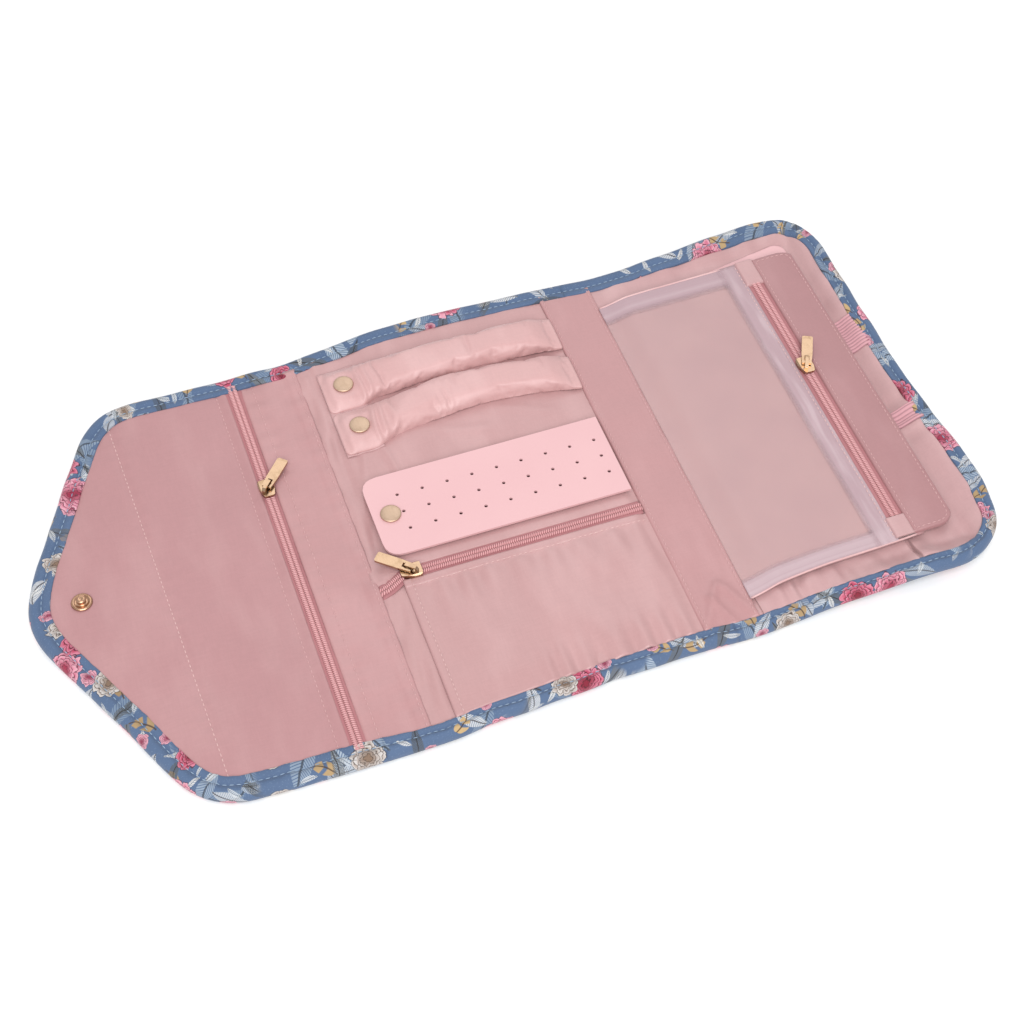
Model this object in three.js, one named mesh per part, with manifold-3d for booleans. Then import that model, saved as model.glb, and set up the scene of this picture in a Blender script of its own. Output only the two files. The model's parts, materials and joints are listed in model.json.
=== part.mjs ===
// A folding travel jewelry roll, lying open: a pointed flap, a flap spine, a middle panel, an end spine and
// an end panel, joined by four folds. Millimetres, +X from the flap's tip to the end panel, +Y to the far side
// and +Z up, with the origin under the middle of the roll.
import * as THREE from "three";
import { mergeVertices } from "three/addons/utils/BufferGeometryUtils.js";
import Module from "manifold-3d";

const wasm = await Module();
wasm.setup();

// Overall sizes
const LENGTH = 406;
const WIDTH = 216;
const PANEL = 7;
const FOLD_HEIGHT = 5.5;
const CLEAR = 0.3;

// Lengths of the panels along X; the middle and the end panel share what is left
const FLAP = 105;
const END_SPINE = 24.5;
const SNAP_ROOM = 3;
// how much shorter than the middle the end panel is, so that it folds in beside the flap spine
const END_MARGIN = 8;

// Layers of a panel
const COVER = 1;
const LINING = 0.8;
const BACKING = 0.5;
const CROWN = 0.7;

// Padded rim
const RIM_WIDTH = 7;
const RIM_HEIGHT = 7.8;
const RIM_SIDE = 2.8;

// Outline
const FLAP_SHOULDER = 57;
const FLAP_CORNER = 34;
const TIP_RADIUS = 45;
const END_CORNER = 27;

// Flap pocket and snap
const SEAM_FROM_FOLD = 48;
const SEAM_DEPTH = 0.35;
const SEAM_WIDTH = 4;
const STUD_FROM_TIP = 23;
const SNAP_Y = 4;
const RIVET_RADIUS = 5.5;
const STUD_HEIGHT = 3.4;

// Zips
const TAPE = 0.55;
const COIL_WIDTH = 2;
const COIL_HEIGHT = 1.65;
const FLAP_ZIP_HALF = 5.4;
const FLAP_ZIP_FROM_FOLD = 27;
const MIDDLE_ZIP_HALF = 4.8;
const MIDDLE_ZIP_Y = -28.2;
const PAGE_ZIP_HALF = 3.4;

// Zip sliders and pull tabs
const SLIDER_LENGTH = 9.4;
const SLIDER_WALL = 1.1;
const LUG_LENGTH = 7;
const LUG_WIDTH = 1.6;
const LUG_BAR = 0.7;
const TAB_LENGTH = 16;
const TAB_WIDTH = 5;
const TAB_THICKNESS = 1.2;
const TAB_PIN = 1.4;
const FLAP_SLIDER_Y = 35.5;
const FLAP_TAB_TURN = 48;
const MIDDLE_SLIDER_FROM_FOLD = 18.6;
const MIDDLE_TAB_TURN = 139;
const PAGE_SLIDER_Y = 18.5;
const PAGE_TAB_TURN = 64;

// Ring bars
const BAR_WIDTH = 19.4;
const BAR_HEIGHT = 7.2;
const BARS_FROM_EDGE = 21;
const BAR_PITCH = 25.5;
// how far the middle of each bar bows to the far side of the line from its snap to its sewn end
const BAR_BOWS = [2.5, 6.2];
const BAR_TAB_WIDTH = 22.4;
const BAR_TAB = 1.2;
const BAR_TAB_LENGTH = 19;
const BAR_SLOPE = 9;
const BAR_SNAP_INSET = 9.2;
const BAR_BASE = 0.6;
const BAR_BASE_LENGTH = 17;
const BAR_BASE_MARGIN = 1.6;
const BARS_FROM_FOLD = 12;

// Snaps of the bars and the earring plate
const CAP_RADIUS = 4.6;
const CAP_HEIGHT = 1.4;
const SOCKET_RADIUS = 3.7;
const SOCKET_HEIGHT = 0.9;
const NECK_RADIUS = 1.9;
const BALL_RADIUS = 1;
const STUD_FLANGE = 0.5;
const STUD_BALL = 1.3;

// Earring plate
const PLATE_FROM_FOLD = 11.4;
const PLATE_WIDTH = 43.6;
const PLATE_Y = 2.4;
const PLATE = 1.2;
const PLATE_CORNER = 8;
const PLATE_SNAP_INSET = 8;
const HOLE_RADIUS = 0.8;
const HOLE_ROWS = 3;
const HOLE_COLUMNS = 9;
const HOLE_PITCH_X = 11.5;
const HOLE_PITCH_Y = 9.5;
const HOLES_FROM_END = 5.6;

// Middle pocket
const POCKET_FROM_FOLD = 13.9;
const POCKET_CLOTH = 0.8;
const POCKET_GATHER = 0.45;
const POCKET_GATHERS = 9;

// Page on the end panel
const PAGE_FROM_EDGE = 14.2;
const PAGE_LIFT = 2.8;
const PAGE_SHEET = 0.5;
const PAGE_BORDER = 10.5;
const PAGE_BORDER_CLOTH = 0.7;
const WINDOW = 0.4;
const PAGE_STRIP = 20.6;
const PAGE_STRIP_CLOTH = 1.5;
const PAGE_CORNER = 7;
const PAGE_END_INSET = 18;
const ZIP_TAB = 13;

// Under the page
const CARD = 1;
const CARD_WIDTH = 74;
const CARD_LENGTH = 126;
const CARD_FROM_EDGE = 8.7;
const CARD_CORNER = 6;
const BAND = 0.7;
const BAND_RIB = 0.25;
const WIDE_BAND = 20.5;
const WIDE_BAND_FROM_CARD = 60;
const NARROW_BAND = 9.5;
const NARROW_BAND_FROM_CARD = 114;
const RIB_PITCH = 2.05;
const PUCKER = 0.7;
const PUCKERS = 8;
const PUCKER_POCKET = 71;
const PUCKER_POCKET_DEPTH = 42;

// Places that follow from the sizes
const END_X = LENGTH / 2;
const TIP_X = -LENGTH / 2;
const FLAP_SPINE = END_SPINE + PANEL + SNAP_ROOM;
const MIDDLE = (LENGTH - FLAP - FLAP_SPINE - END_SPINE + END_MARGIN) / 2;
const END_PANEL = MIDDLE - END_MARGIN;
const END_FOLD_X = END_X - END_PANEL;
const MIDDLE_FOLD_X = END_FOLD_X - END_SPINE;
const SPINE_FOLD_X = MIDDLE_FOLD_X - MIDDLE;
const FLAP_FOLD_X = SPINE_FOLD_X - FLAP_SPINE;
const HALF = WIDTH / 2;
const INNER_Y = HALF - RIM_WIDTH - CLEAR;
const BAR_Y = [INNER_Y - BARS_FROM_EDGE, INNER_Y - BARS_FROM_EDGE - BAR_PITCH];
const CARD_FAR_Y = INNER_Y - CARD_FROM_EDGE;
const WIDE_BAND_Y = CARD_FAR_Y - WIDE_BAND_FROM_CARD;
const NARROW_BAND_Y = CARD_FAR_Y - NARROW_BAND_FROM_CARD;
const ON_LINING = PANEL + CLEAR;
// how far the inside of a panel is cut back at a fold, so that two panels can meet at a right angle
const CUT_BACK = PANEL - FOLD_HEIGHT + CLEAR;

// Colours
const PRINT = 0x5f7ba6;
const DUSTY_ROSE = 0xc79a9b;
const LIGHT_SATIN = 0xdcb6b5;
const LINING_PINK = 0xe6bdbb;
const PLATE_PINK = 0xf6c6ca;
const ZIP_PINK = 0xd88f92;
const GOLD = 0xd8be8c;
const FOAM = 0xefe9df;

const roll = new THREE.Group();

// Adds one named piece with its own material.
function add(name, geometry, color, roughness = 0.8, metalness = 0) {
  const material = new THREE.MeshStandardMaterial({ color, roughness, metalness });
  const mesh = new THREE.Mesh(geometry, material);
  mesh.name = name;
  roll.add(mesh);
  return mesh;
}

// A closed geometry from corners and triangles, turned so that its faces point out.
function closed(points, triangles) {
  const geometry = new THREE.BufferGeometry();
  geometry.setAttribute("position", new THREE.Float32BufferAttribute(points.flat(), 3));
  let volume = 0;
  const [a, b, c] = [new THREE.Vector3(), new THREE.Vector3(), new THREE.Vector3()];
  for (const [i, j, k] of triangles) {
    a.fromArray(points[i]);
    b.fromArray(points[j]);
    c.fromArray(points[k]);
    volume += a.dot(b.cross(c));
  }
  const outward = volume < 0 ? triangles.map(([i, j, k]) => [i, k, j]) : triangles;
  geometry.setIndex(outward.flat());
  return geometry;
}

// A geometry as a solid that can be joined and cut.
function solid(geometry) {
  const bare = geometry.clone();
  bare.deleteAttribute("normal");
  bare.deleteAttribute("uv");
  const merged = mergeVertices(bare, 1e-4);
  const vertProperties = new Float32Array(merged.attributes.position.array);
  const triVerts = new Uint32Array(merged.index.array);
  return new wasm.Manifold(new wasm.Mesh({ numProp: 3, vertProperties, triVerts }));
}

// A solid back as a geometry.
function geometryOf(body) {
  const mesh = body.getMesh();
  const geometry = new THREE.BufferGeometry();
  geometry.setAttribute("position", new THREE.BufferAttribute(mesh.vertProperties, 3));
  geometry.setIndex(new THREE.BufferAttribute(mesh.triVerts, 1));
  return geometry;
}

// Cuts the given geometries out of a geometry.
function cut(geometry, ...tools) {
  return geometryOf(tools.reduce((body, tool) => body.subtract(solid(tool)), solid(geometry)));
}

// An upright round bar from z0 to z1, for holes.
function drill(x, y, radius, z0, z1, sides = 16) {
  const bar = new THREE.CylinderGeometry(radius, radius, z1 - z0, sides);
  return bar.rotateX(Math.PI / 2).translate(x, y, (z0 + z1) / 2);
}

// A flat outline raised from z0 to z1.
function slab(shape, z0, z1, curveSegments = 8) {
  const options = { depth: z1 - z0, bevelEnabled: false, curveSegments };
  return new THREE.ExtrudeGeometry(shape, options).translate(0, 0, z0);
}

// A polygon with each corner rounded by its own radius; corners are [x, y, radius].
function rounded(corners) {
  const shape = new THREE.Shape();
  corners.forEach(([x, y, radius], i) => {
    const here = new THREE.Vector2(x, y);
    const before = new THREE.Vector2(...corners.at(i - 1)).sub(here);
    const after = new THREE.Vector2(...corners[(i + 1) % corners.length]).sub(here);
    const half = Math.acos(before.clone().normalize().dot(after.clone().normalize())) / 2;
    const reach = radius / Math.tan(half);
    const start = before.setLength(reach).add(here);
    const end = after.setLength(reach).add(here);
    if (i === 0) shape.moveTo(start.x, start.y);
    else shape.lineTo(start.x, start.y);
    if (radius > 0) shape.quadraticCurveTo(x, y, end.x, end.y);
  });
  shape.closePath();
  return shape;
}

// A plain rectangle as an outline.
function box(x0, x1, y0, y1, radius = 0) {
  return rounded([
    [x0, y0, radius],
    [x1, y0, radius],
    [x1, y1, radius],
    [x0, y1, radius],
  ]);
}

// A soft sheet or pad: top and bottom are surfaces of u and v from 0 to 1, each giving [x, y, z].
function pad(top, bottom, nu, nv) {
  const points = [];
  const triangles = [];
  const stride = nv + 1;
  const sheet = (nu + 1) * stride;
  for (const surface of [top, bottom])
    for (let i = 0; i <= nu; i++)
      for (let j = 0; j <= nv; j++) points.push(surface(i / nu, j / nv));
  const quad = (a, b, c, d) => triangles.push([a, b, c], [a, c, d]);
  for (let i = 0; i < nu; i++)
    for (let j = 0; j < nv; j++) {
      const a = i * stride + j;
      quad(a, a + stride, a + stride + 1, a + 1);
      quad(sheet + a, sheet + a + 1, sheet + a + stride + 1, sheet + a + stride);
    }
  for (let i = 0; i < nu; i++) {
    const a = i * stride;
    const b = a + nv;
    quad(a, sheet + a, sheet + a + stride, a + stride);
    quad(b, b + stride, sheet + b + stride, sheet + b);
  }
  for (let j = 0; j < nv; j++) {
    const b = nu * stride + j;
    quad(j, j + 1, sheet + j + 1, sheet + j);
    quad(b, sheet + b, sheet + b + 1, b + 1);
  }
  return closed(points, triangles);
}

// A section [inward, z] carried along a path of stations {x, y, nx, ny}, closed at both ends; at an end that
// meets a fold, the section is cut back above the height of the fold's axis.
function sweep(section, path, startFold, endFold) {
  const count = section.length;
  const points = [];
  const triangles = [];
  path.forEach((station, i) => {
    const fold = i === 0 ? startFold : i === path.length - 1 ? endFold : undefined;
    for (const [inward, z] of section) {
      const x = station.x + station.nx * inward;
      const y = station.y + station.ny * inward;
      points.push([fold ? fold(z) : x, y, z]);
    }
  });
  for (let i = 0; i + 1 < path.length; i++)
    for (let j = 0; j < count; j++) {
      const a = i * count + j;
      const b = i * count + ((j + 1) % count);
      triangles.push([a, b, b + count], [a, b + count, a + count]);
    }
  const flat = section.map(([inward, z]) => new THREE.Vector2(inward, z));
  const last = (path.length - 1) * count;
  const turn = Math.sign(THREE.ShapeUtils.area(flat));
  for (const corners of THREE.ShapeUtils.triangulateShape(flat, [])) {
    const same = Math.sign(THREE.ShapeUtils.area(corners.map((i) => flat[i]))) === turn;
    const [i, j, k] = same ? corners : [...corners].reverse();
    triangles.push([i, k, j], [last + i, last + j, last + k]);
  }
  return closed(points, triangles);
}

// The x of a piece's end at height z, on the side of a fold that side (+1 or -1) points to.
const foldEnd = (x, side) => (z) => x + side * (CLEAR / 2 + Math.max(0, z - FOLD_HEIGHT));

// The outer corners of the flap, from its fold round the tip, each with its radius.
function flapCorners() {
  const shoulder = FLAP_FOLD_X - FLAP_SHOULDER;
  // a rounded tip lies short of its corner, by a distance that depends on how sharp the corner is
  let tip = TIP_X;
  for (let i = 0; i < 30; i++) {
    const half = Math.atan2(HALF, shoulder - tip);
    tip = TIP_X - (TIP_RADIUS * Math.cos(half) ** 2) / Math.sin(half) / 2;
  }
  return [
    [FLAP_FOLD_X, -HALF, 0],
    [FLAP_FOLD_X, HALF, 0],
    [shoulder, HALF, FLAP_CORNER],
    [tip, 0, TIP_RADIUS],
    [shoulder, -HALF, FLAP_CORNER],
  ];
}

// The outer corners of the end panel.
function endCorners() {
  return [
    [END_FOLD_X, HALF, 0],
    [END_FOLD_X, -HALF, 0],
    [END_X, -HALF, END_CORNER],
    [END_X, HALF, END_CORNER],
  ];
}

// Stations along an outline from one end of its fold to the other, with their inward normals.
function edge(corners, steps) {
  const points = rounded(corners).getPoints(steps);
  const path = points.filter((p, i) => i > 0 && p.distanceTo(points[i - 1]) > 1e-6);
  return path.map((p, i) => {
    const before = path[Math.max(i - 1, 0)];
    const after = path[Math.min(i + 1, path.length - 1)];
    const way = after.clone().sub(before).normalize();
    return { x: p.x, y: p.y, nx: -way.y, ny: way.x };
  });
}

// The outline that lies a distance inside an edge.
const inset = (path, by) => path.map(({ x, y, nx, ny }) => new THREE.Vector2(x + nx * by, y + ny * by));

// The half-width of an outline at x, read off its edge.
function halfWidth(points) {
  return (x) => {
    let most = 0;
    points.forEach((p, i) => {
      const q = points[(i + 1) % points.length];
      const low = Math.min(p.x, q.x);
      const high = Math.max(p.x, q.x);
      if (x < low || x > high || high - low < 1e-9) return;
      most = Math.max(most, p.y + ((q.y - p.y) * (x - p.x)) / (q.x - p.x));
    });
    return most;
  };
}

// The puffed height of the inside of a panel at x, y: highest in the middle and drawn in at its edges.
function puff(x0, x1, half) {
  return (x, y) => {
    const along = (2 * (x - x0)) / (x1 - x0) - 1;
    const across = y / Math.max(half(x), 1);
    return PANEL - CROWN * (1 - (1 - along ** 4) * (1 - across ** 4));
  };
}

// A soft layer between x0 and x1 with half-width half(x), from its underside at height under(x, y) to its top
// at top(x, y).
function layer(x0, x1, half, top, under, nu, nv) {
  const place = (height) => (u, v) => {
    const x = x0 + (x1 - x0) * u;
    const y = (2 * v - 1) * half(x);
    return [x, y, height(x, y)];
  };
  return pad(place(top), place(under), nu, nv);
}

// A surface a set distance below another.
const below = (surface, drop) => (x, y) => surface(x, y) - drop;

// A flat surface.
const level = (z) => () => z;

// Rim section, from the underside round the padded edge to the stitched inner band.
const RIM = [
  [RIM_WIDTH, 0],
  [RIM_SIDE * 0.75, 0],
  [RIM_SIDE * 0.22, RIM_HEIGHT * 0.13],
  [0, RIM_HEIGHT * 0.34],
  [0, RIM_HEIGHT * 0.58],
  [RIM_SIDE * 0.2, RIM_HEIGHT * 0.8],
  [RIM_SIDE * 0.6, RIM_HEIGHT * 0.94],
  [RIM_SIDE * 1.2, RIM_HEIGHT],
  [RIM_WIDTH * 0.75, RIM_HEIGHT - 0.1],
  [RIM_WIDTH, PANEL],
];

// The half-width of a panel with straight sides.
const straight = () => INNER_Y;

// Straight rim pieces on both long sides of a panel between two folds.
function sideRims(name, x0, x1) {
  for (const [end, side] of [
    ["far", 1],
    ["near", -1],
  ]) {
    const path = [x0, x1].map((x) => ({ x, y: side * HALF, nx: 0, ny: -side }));
    add(`${name}_rim_${end}`, sweep(RIM, path, foldEnd(x0, 1), foldEnd(x1, -1)), PRINT, 0.85);
  }
}

// Cover, padding and rims of a panel between two folds.
function plainPanel(name, x0, x1) {
  const cover = box(x0 + CLEAR / 2, x1 - CLEAR / 2, -INNER_Y, INNER_Y);
  add(`${name}_cover`, slab(cover, 0, COVER), PRINT, 0.85);
  const [from, to] = [x0 + CUT_BACK, x1 - CUT_BACK];
  const inside = puff(from, to, straight);
  const foam = layer(from, to, straight, below(inside, LINING + CLEAR), level(COVER + CLEAR), 6, 8);
  add(`${name}_padding`, foam, FOAM, 0.95);
  sideRims(name, x0, x1);
  return inside;
}

// Zips

// One half of a zip: a tape with its coil along the edge, at distances from the zip's centre line.
function zipSection(half) {
  const near = CLEAR / 2;
  return [
    [near, 0],
    [half, 0],
    [half, TAPE],
    [COIL_WIDTH + 0.2, TAPE],
    [COIL_WIDTH, COIL_HEIGHT * 0.75],
    [COIL_WIDTH * 0.72, COIL_HEIGHT],
    [COIL_WIDTH * 0.36, COIL_HEIGHT],
    [near, COIL_HEIGHT * 0.75],
  ];
}

// Both halves of a zip that runs along Y at x, or along X at y, with its tapes lying at height z.
function zip(name, half, z, from, to, place, alongX) {
  for (const [word, side] of alongX
    ? [
        ["upper", 1],
        ["lower", -1],
      ]
    : [
        ["left", -1],
        ["right", 1],
      ]) {
    const section = zipSection(half).map(([d, h]) => [d, z + h]);
    const path = [from, to].map((along) =>
      alongX ? { x: along, y: place, nx: 0, ny: side } : { x: place, y: along, nx: side, ny: 0 },
    );
    add(`${name}_zip_${word}`, sweep(section, path), ZIP_PINK, 0.6);
  }
}

const SLIDER_INSIDE = COIL_WIDTH + 0.2 + CLEAR;
const SLIDER_HALF = SLIDER_INSIDE + SLIDER_WALL;
const SLIDER_ROOF = COIL_HEIGHT + CLEAR;
const SLIDER_TOP = SLIDER_ROOF + SLIDER_WALL;
const TAB_REACH = Math.hypot(TAB_PIN / 2, TAB_THICKNESS / 2);
const PIN_HEIGHT = SLIDER_TOP + TAB_REACH + CLEAR / 3;
const LUG_ROOM = PIN_HEIGHT + TAB_REACH + CLEAR / 3 - SLIDER_TOP;

// A slider over the coils of a zip along Y: a shield-shaped roof with side walls, and a lug for the pull tab
// that is turned to the tab.
function sliderGeometry(turn) {
  const wallFoot = TAPE + CLEAR;
  const channel = new THREE.Shape();
  channel.moveTo(-SLIDER_HALF, wallFoot);
  channel.lineTo(-SLIDER_INSIDE, wallFoot);
  channel.lineTo(-SLIDER_INSIDE, SLIDER_ROOF);
  channel.lineTo(SLIDER_INSIDE, SLIDER_ROOF);
  channel.lineTo(SLIDER_INSIDE, wallFoot);
  channel.lineTo(SLIDER_HALF, wallFoot);
  channel.lineTo(SLIDER_HALF, SLIDER_TOP - 0.6);
  channel.lineTo(SLIDER_HALF - 0.6, SLIDER_TOP);
  channel.lineTo(-SLIDER_HALF + 0.6, SLIDER_TOP);
  channel.lineTo(-SLIDER_HALF, SLIDER_TOP - 0.6);
  channel.closePath();
  const long = new THREE.ExtrudeGeometry(channel, { depth: SLIDER_LENGTH, bevelEnabled: false });
  long.rotateX(Math.PI / 2).translate(0, SLIDER_LENGTH / 2, 0);
  const waist = SLIDER_HALF * 0.62;
  const shield = rounded([
    [-waist, -SLIDER_LENGTH / 2, 1],
    [waist, -SLIDER_LENGTH / 2, 1],
    [SLIDER_HALF, SLIDER_LENGTH * 0.1, 1],
    [SLIDER_HALF, SLIDER_LENGTH / 2, 1.4],
    [-SLIDER_HALF, SLIDER_LENGTH / 2, 1.4],
    [-SLIDER_HALF, SLIDER_LENGTH * 0.1, 1],
  ]);
  const lug = new THREE.Shape();
  const outside = LUG_LENGTH / 2;
  const inside = outside - LUG_BAR * 1.6;
  const top = SLIDER_TOP + LUG_ROOM;
  lug.moveTo(-outside, SLIDER_TOP - 0.3);
  lug.lineTo(outside, SLIDER_TOP - 0.3);
  lug.lineTo(outside, top - 0.6);
  lug.lineTo(outside - 1, top + LUG_BAR);
  lug.lineTo(1 - outside, top + LUG_BAR);
  lug.lineTo(-outside, top - 0.6);
  lug.closePath();
  const gap = new THREE.Path();
  gap.moveTo(-inside, SLIDER_TOP);
  gap.lineTo(-inside, top);
  gap.lineTo(inside, top);
  gap.lineTo(inside, SLIDER_TOP);
  gap.closePath();
  lug.holes.push(gap);
  const loop = new THREE.ExtrudeGeometry(lug, { depth: LUG_WIDTH, bevelEnabled: false });
  loop.translate(0, 0, -LUG_WIDTH / 2).rotateX(Math.PI / 2).rotateZ(turn);
  const roof = solid(long).intersect(solid(slab(shield, 0, SLIDER_TOP + 1)));
  return geometryOf(roof.add(solid(loop)));
}

// A flat pull tab along +X whose pin turns at the origin; its window goes over the slider's lug.
function tabGeometry() {
  const half = TAB_WIDTH / 2;
  const pin = TAB_PIN / 2;
  const window = LUG_LENGTH / 2 + CLEAR;
  const slot = LUG_WIDTH / 2 + CLEAR;
  const tab = rounded([
    [-pin, -slot - 1, 0.2],
    [window + 1, -half, 0.8],
    [TAB_LENGTH, -half, 0.9],
    [TAB_LENGTH, half, 0.9],
    [window + 1, half, 0.8],
    [-pin, slot + 1, 0.2],
  ]);
  const hole = new THREE.Path();
  hole.moveTo(pin, -slot);
  hole.lineTo(pin, slot);
  hole.lineTo(window, slot);
  hole.lineTo(window, -slot);
  hole.closePath();
  tab.holes.push(hole);
  return slab(tab, -TAB_THICKNESS / 2, TAB_THICKNESS / 2, 3);
}

// A slider and its tab on a zip whose tapes lie at height z; course is the zip's heading and turn the tab's.
function slider(name, x, y, z, course, turn) {
  const heading = THREE.MathUtils.degToRad(course);
  const way = THREE.MathUtils.degToRad(turn);
  const body = sliderGeometry(way - heading + Math.PI / 2);
  body.rotateZ(heading - Math.PI / 2).translate(x, y, z);
  add(`${name}_slider`, body, GOLD, 0.3, 1);
  const tab = tabGeometry().rotateZ(way).translate(x, y, z + PIN_HEIGHT);
  add(`${name}_pull_tab`, tab, GOLD, 0.28, 1);
}

// Snaps

// A turned piece from a profile of [radius, z], standing at x, y.
function turned(profile, x, y, z, sides = 16) {
  const points = profile.map(([radius, height]) => new THREE.Vector2(radius, height));
  return new THREE.LatheGeometry(points, sides).rotateX(Math.PI / 2).translate(x, y, z);
}

// A cap and socket riveted through a sheet that lies between z and z + sheet.
function capAndSocket(name, x, y, z, sheet) {
  const low = -CLEAR - SOCKET_HEIGHT;
  const high = sheet + CLEAR;
  const ball = BALL_RADIUS + CLEAR;
  const profile = [
    [0, low + STUD_BALL],
    [ball, low + STUD_BALL],
    [ball, low],
    [SOCKET_RADIUS - 0.3, low],
    [SOCKET_RADIUS, low + 0.3],
    [SOCKET_RADIUS, -CLEAR],
    [NECK_RADIUS, -CLEAR],
    [NECK_RADIUS, high],
    [CAP_RADIUS, high],
    [CAP_RADIUS, high + 0.4],
    [CAP_RADIUS * 0.8, high + CAP_HEIGHT * 0.75],
    [CAP_RADIUS * 0.4, high + CAP_HEIGHT],
    [0, high + CAP_HEIGHT],
  ];
  add(name, turned(profile, x, y, z), GOLD, 0.35, 1);
}

// A stud with a flange and a ball that fits the socket above it.
function stud(name, x, y, z) {
  const profile = [
    [0, 0],
    [SOCKET_RADIUS, 0],
    [SOCKET_RADIUS, STUD_FLANGE],
    [BALL_RADIUS * 0.75, STUD_FLANGE],
    [BALL_RADIUS, STUD_FLANGE + STUD_BALL * 0.6],
    [BALL_RADIUS * 0.6, STUD_FLANGE + STUD_BALL],
    [0, STUD_FLANGE + STUD_BALL],
  ];
  add(name, turned(profile, x, y, z), GOLD, 0.35, 1);
}

// Height of a sheet's underside over the foot of the stud that holds it.
const SNAP_STACK = STUD_FLANGE + CLEAR + SOCKET_HEIGHT + CLEAR;

// Flap

const STUD_X = TIP_X + STUD_FROM_TIP;
const SEAM_X = FLAP_FOLD_X - SEAM_FROM_FOLD;
const RIVET = 1.8;
const POST_RADIUS = 1.4;
const flapEdge = edge(flapCorners(), 8);
const flapInner = inset(flapEdge, RIM_WIDTH + CLEAR);
const flapHalf = halfWidth(flapInner);
const flapStart = FLAP_FOLD_X - CUT_BACK;
const flapEnd = Math.min(...flapInner.map((p) => p.x)) + CLEAR;

const besideFold = box(2 * TIP_X, FLAP_FOLD_X - CLEAR / 2, -WIDTH, WIDTH);
const flapBlank = solid(slab(new THREE.Shape(flapInner), 0, COVER));
const flapCover = geometryOf(flapBlank.intersect(solid(slab(besideFold, -1, PANEL))));
const rivetRecess = drill(STUD_X, SNAP_Y, RIVET_RADIUS + CLEAR, -1, RIVET + CLEAR, 20);
const postHole = drill(STUD_X, SNAP_Y, POST_RADIUS + CLEAR, -1, PANEL + 1);
add("flap_cover", cut(flapCover, rivetRecess), PRINT, 0.85);

const flapInside = puff(flapEnd, flapStart, flapHalf);
const flapBackTop = below(flapInside, LINING + CLEAR);
const flapFoamTop = below(flapBackTop, BACKING + CLEAR);
const flapLayer = (top, under, steps) => layer(flapStart, flapEnd, flapHalf, top, under, steps, 8);
const flapFoam = flapLayer(flapFoamTop, level(COVER + CLEAR), 12);
add("flap_padding", cut(flapFoam, rivetRecess, postHole), FOAM, 0.95);
const flapBack = flapLayer(flapBackTop, below(flapBackTop, BACKING), 12);
add("flap_pocket_backing", cut(flapBack, postHole), DUSTY_ROSE, 0.5);
const seam = (x) => SEAM_DEPTH * Math.max(0, 1 - Math.abs(x - SEAM_X) / SEAM_WIDTH);
const flapFaceTop = (x, y) => flapInside(x, y) - seam(x);
const flapFace = flapLayer(flapFaceTop, below(flapInside, LINING), 24);
add("flap_pocket_face", cut(flapFace, postHole), DUSTY_ROSE, 0.45);

add("flap_rim", sweep(RIM, flapEdge, foldEnd(FLAP_FOLD_X, -1), foldEnd(FLAP_FOLD_X, -1)), PRINT, 0.85);

const rivetProfile = [
  [0, 0],
  [RIVET_RADIUS * 0.6, 0],
  [RIVET_RADIUS, RIVET * 0.5],
  [RIVET_RADIUS, RIVET],
  [POST_RADIUS, RIVET],
  [POST_RADIUS, PANEL],
  [0, PANEL],
];
add("flap_snap_rivet", turned(rivetProfile, STUD_X, SNAP_Y, 0), GOLD, 0.35, 1);
const flapStudProfile = [
  [0, 0],
  [CAP_RADIUS, 0],
  [CAP_RADIUS, 0.5],
  [CAP_RADIUS * 0.8, 1.1],
  [CAP_RADIUS * 0.6, 0.7],
  [NECK_RADIUS * 0.9, 0.8],
  [NECK_RADIUS * 1.15, STUD_HEIGHT * 0.6],
  [NECK_RADIUS * 0.7, STUD_HEIGHT - CLEAR],
  [0, STUD_HEIGHT - CLEAR],
];
add("flap_snap_stud", turned(flapStudProfile, STUD_X, SNAP_Y, ON_LINING), GOLD, 0.35, 1);

// Flap spine

const FLAP_ZIP_X = SPINE_FOLD_X - FLAP_ZIP_FROM_FOLD;
const FLAP_ZIP_Z = PANEL - TAPE;
const flapSpineInside = plainPanel("flap_spine", FLAP_FOLD_X, SPINE_FOLD_X);
zip("flap", FLAP_ZIP_HALF, FLAP_ZIP_Z, -INNER_Y, INNER_Y, FLAP_ZIP_X, false);
const stripStart = FLAP_ZIP_X + FLAP_ZIP_HALF + CLEAR;
const stripEnd = SPINE_FOLD_X - CUT_BACK;
const flapStripUnder = below(flapSpineInside, LINING);
const flapStrip = layer(stripStart, stripEnd, straight, flapSpineInside, flapStripUnder, 4, 8);
add("flap_spine_strip", flapStrip, DUSTY_ROSE, 0.45);
slider("flap", FLAP_ZIP_X, FLAP_SLIDER_Y, FLAP_ZIP_Z, 90, FLAP_TAB_TURN);

// Middle panel

const middleStart = SPINE_FOLD_X + CUT_BACK;
const middleEnd = MIDDLE_FOLD_X - CUT_BACK;
const middleInside = plainPanel("middle", SPINE_FOLD_X, MIDDLE_FOLD_X);
const middleUnder = below(middleInside, LINING);
const middleLining = layer(middleStart, middleEnd, straight, middleInside, middleUnder, 6, 8);
add("middle_lining", middleLining, LIGHT_SATIN, 0.4);

// Ring bars: padded tubes from the end spine's edge, drawn in to a flat tab that snaps down at the other end.
const BAR_END_X = middleEnd - CLEAR;
const BAR_START_X = SPINE_FOLD_X + BARS_FROM_FOLD;
const BASE_X = BAR_START_X;
const BAR_SNAP_X = BAR_START_X + BAR_SNAP_INSET;
const BASE_TOP = ON_LINING + BAR_BASE;
const BAR_TAB_Z = BASE_TOP + CLEAR + SNAP_STACK;
const BAR_FOOT = ON_LINING;
const barBody = BAR_START_X + BAR_TAB_LENGTH + BAR_SLOPE;

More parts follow.
